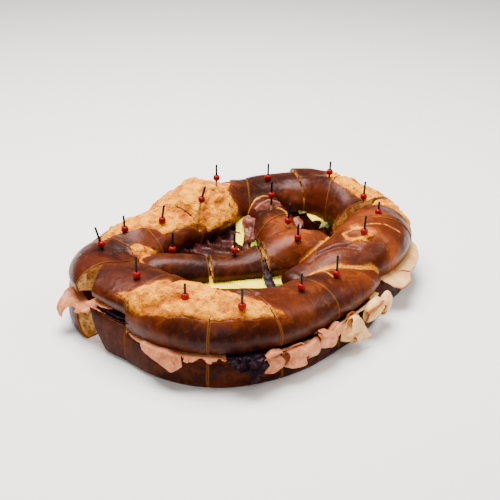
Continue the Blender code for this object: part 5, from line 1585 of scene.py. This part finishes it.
def bead_pick(number, finish):
    """A turned pick: a stem with a sharp foot, through a barrel bead, on the axis of its solid. The
    bead's radius falls with a power of the cosine from its middle to its ends."""
    node = "pick_%02d" % number
    points = np.array([vertex.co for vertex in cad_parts[node].data.vertices], float)
    foot, head = points[points[:, 2].argmin()], points[points[:, 2].argmax()]
    axis = (head - foot) / np.linalg.norm(head - foot)
    length = np.linalg.norm(head - foot) / MM
    bead = length - STEM_ABOVE_BEAD - BEAD_HALF_HEIGHT
    length -= SHORTER.get(number, 0.0)
    foot = foot - axis * PUSHED_IN.get(number, 0.0) * MM
    turn = np.linspace(-math.pi / 2, math.pi / 2, BEAD_ROWS + 2)[1:-1]
    barrel = np.stack([BEAD_RADIUS * np.abs(np.cos(turn)) ** BEAD_SQUARENESS,
                       bead + BEAD_HALF_HEIGHT * np.sin(turn)], axis=1)
    narrowing, last_row, first_row = HEAD_ROUNDING
    below = [(STEM_RADIUS, height) for height in np.linspace(STEM_START, bead - BEAD_HALF_HEIGHT, 24)]
    above = [(STEM_RADIUS, height) for height in np.linspace(bead + BEAD_HALF_HEIGHT, length - first_row, 8)]
    above.append((STEM_RADIUS - narrowing, length - last_row))
    profile = np.concatenate([PICK_POINT, below, barrel, above])
    on_bead = np.zeros(len(profile))
    on_bead[len(PICK_POINT) + len(below):][:BEAD_ROWS] = 1.0
    spin = np.linspace(0.0, 2.0 * math.pi, PICK_COLUMNS, endpoint=False)
    ring = np.stack([np.cos(spin), np.sin(spin), np.zeros(PICK_COLUMNS)], axis=1)
    grid = ring[None] * profile[:, 0, None, None]
    grid[..., 2] = profile[:, 1, None]
    grid = np.concatenate([[[0.0, 0.0, 0.0]], grid.reshape(-1, 3), [[0.0, 0.0, length]]])
    black = (grid[:, 2] > bead - BEAD_HALF_HEIGHT - BLACK_BELOW.get(number, USUAL_BLACK)).astype(float)
    on_bead = np.concatenate([[0.0], np.repeat(on_bead, PICK_COLUMNS), [0.0]])
    turned = np.array(Vector((0.0, 0.0, 1.0)).rotation_difference(Vector(axis)).to_matrix())
    placed = grid @ turned.T + foot / MM + LAYOUT_MIDDLE
    return make_piece("bead_pick_%02d" % number, placed, tube_faces(len(profile), PICK_COLUMNS),
                      [node], finish, {"black": black, "bead": on_bead}, 50.0)


def add_floor():
    """Plain pale floor."""
    mesh = bpy.data.meshes.new("floor")
    corners = [(-FLOOR_REACH, -FLOOR_REACH, 0.0), (FLOOR_REACH, -FLOOR_REACH, 0.0),
               (FLOOR_REACH, FLOOR_REACH, 0.0), (-FLOOR_REACH, FLOOR_REACH, 0.0)]
    mesh.from_pydata(corners, [], [(0, 1, 2, 3)])
    floor = bpy.data.objects.new("floor", mesh)
    bpy.context.scene.collection.objects.link(floor)
    mesh.materials.append(new_finish("pale_floor", 0.7, Base_Color=FLOOR)[0])


def add_lights():
    """Soft lights and an even sky."""
    for name, place, size, power, colour in LAMPS:
        lamp = bpy.data.lights.new(name, "AREA")
        lamp.shape = "DISK"
        lamp.size = size
        lamp.energy = power
        lamp.color = colour
        light = bpy.data.objects.new(name, lamp)
        light.location = place
        light.rotation_mode = "QUATERNION"
        light.rotation_quaternion = (LAMP_TARGET - Vector(place)).to_track_quat("-Z", "Y")
        bpy.context.scene.collection.objects.link(light)
    world = bpy.data.worlds.new("soft_daylight")
    world.use_nodes = True
    world.node_tree.nodes["Background"].inputs["Color"].default_value = (1.0, 1.0, 1.0, 1.0)
    world.node_tree.nodes["Background"].inputs["Strength"].default_value = SKY_STRENGTH
    bpy.context.scene.world = world


def add_camera():
    """The camera, from its place, yaw, pitch and roll."""
    forward = Vector((math.cos(CAMERA_YAW) * math.cos(CAMERA_PITCH),
                      math.sin(CAMERA_YAW) * math.cos(CAMERA_PITCH), -math.sin(CAMERA_PITCH)))
    level = Vector((math.sin(CAMERA_YAW), -math.cos(CAMERA_YAW), 0.0))
    upright = level.cross(forward)
    right = level * math.cos(CAMERA_ROLL) + upright * math.sin(CAMERA_ROLL)
    top = -level * math.sin(CAMERA_ROLL) + upright * math.cos(CAMERA_ROLL)
    view = bpy.data.cameras.new("camera")
    view.sensor_width = 36.0
    view.lens = LENS
    camera = bpy.data.objects.new("camera", view)
    turn = Matrix((right, top, -forward)).transposed().to_4x4()
    camera.matrix_world = Matrix.Translation(CAMERA_PLACE) @ turn
    bpy.context.scene.collection.objects.link(camera)
    bpy.context.scene.camera = camera


def build():
    """Make every piece of the pretzel and the stage."""
    crust = crust_group()
    crumb = crumb_group()
    top_finish = bread_finish("baked_top", crust, crumb, TOP_GLOSS)
    base_finish = bread_finish("baked_base", crust, crumb, BASE_GLOSS)
    for row in TOPS:
        crust_top(*row, top_finish)
    for row in BOTTOMS:
        bread_base(*row, base_finish)
    finishes = {label: meat_finish(*row) for label, *row in MEATS}
    finishes["cheese"] = cheese_finish()
    finishes.update({label: leaf_finish(*row) for label, *row in LEAVES})
    build_fillings(finishes)
    painted = pick_finish()
    for number in range(1, PICK_COUNT + 1):
        bead_pick(number, painted)
    add_floor()
    add_lights()
    add_camera()


build()
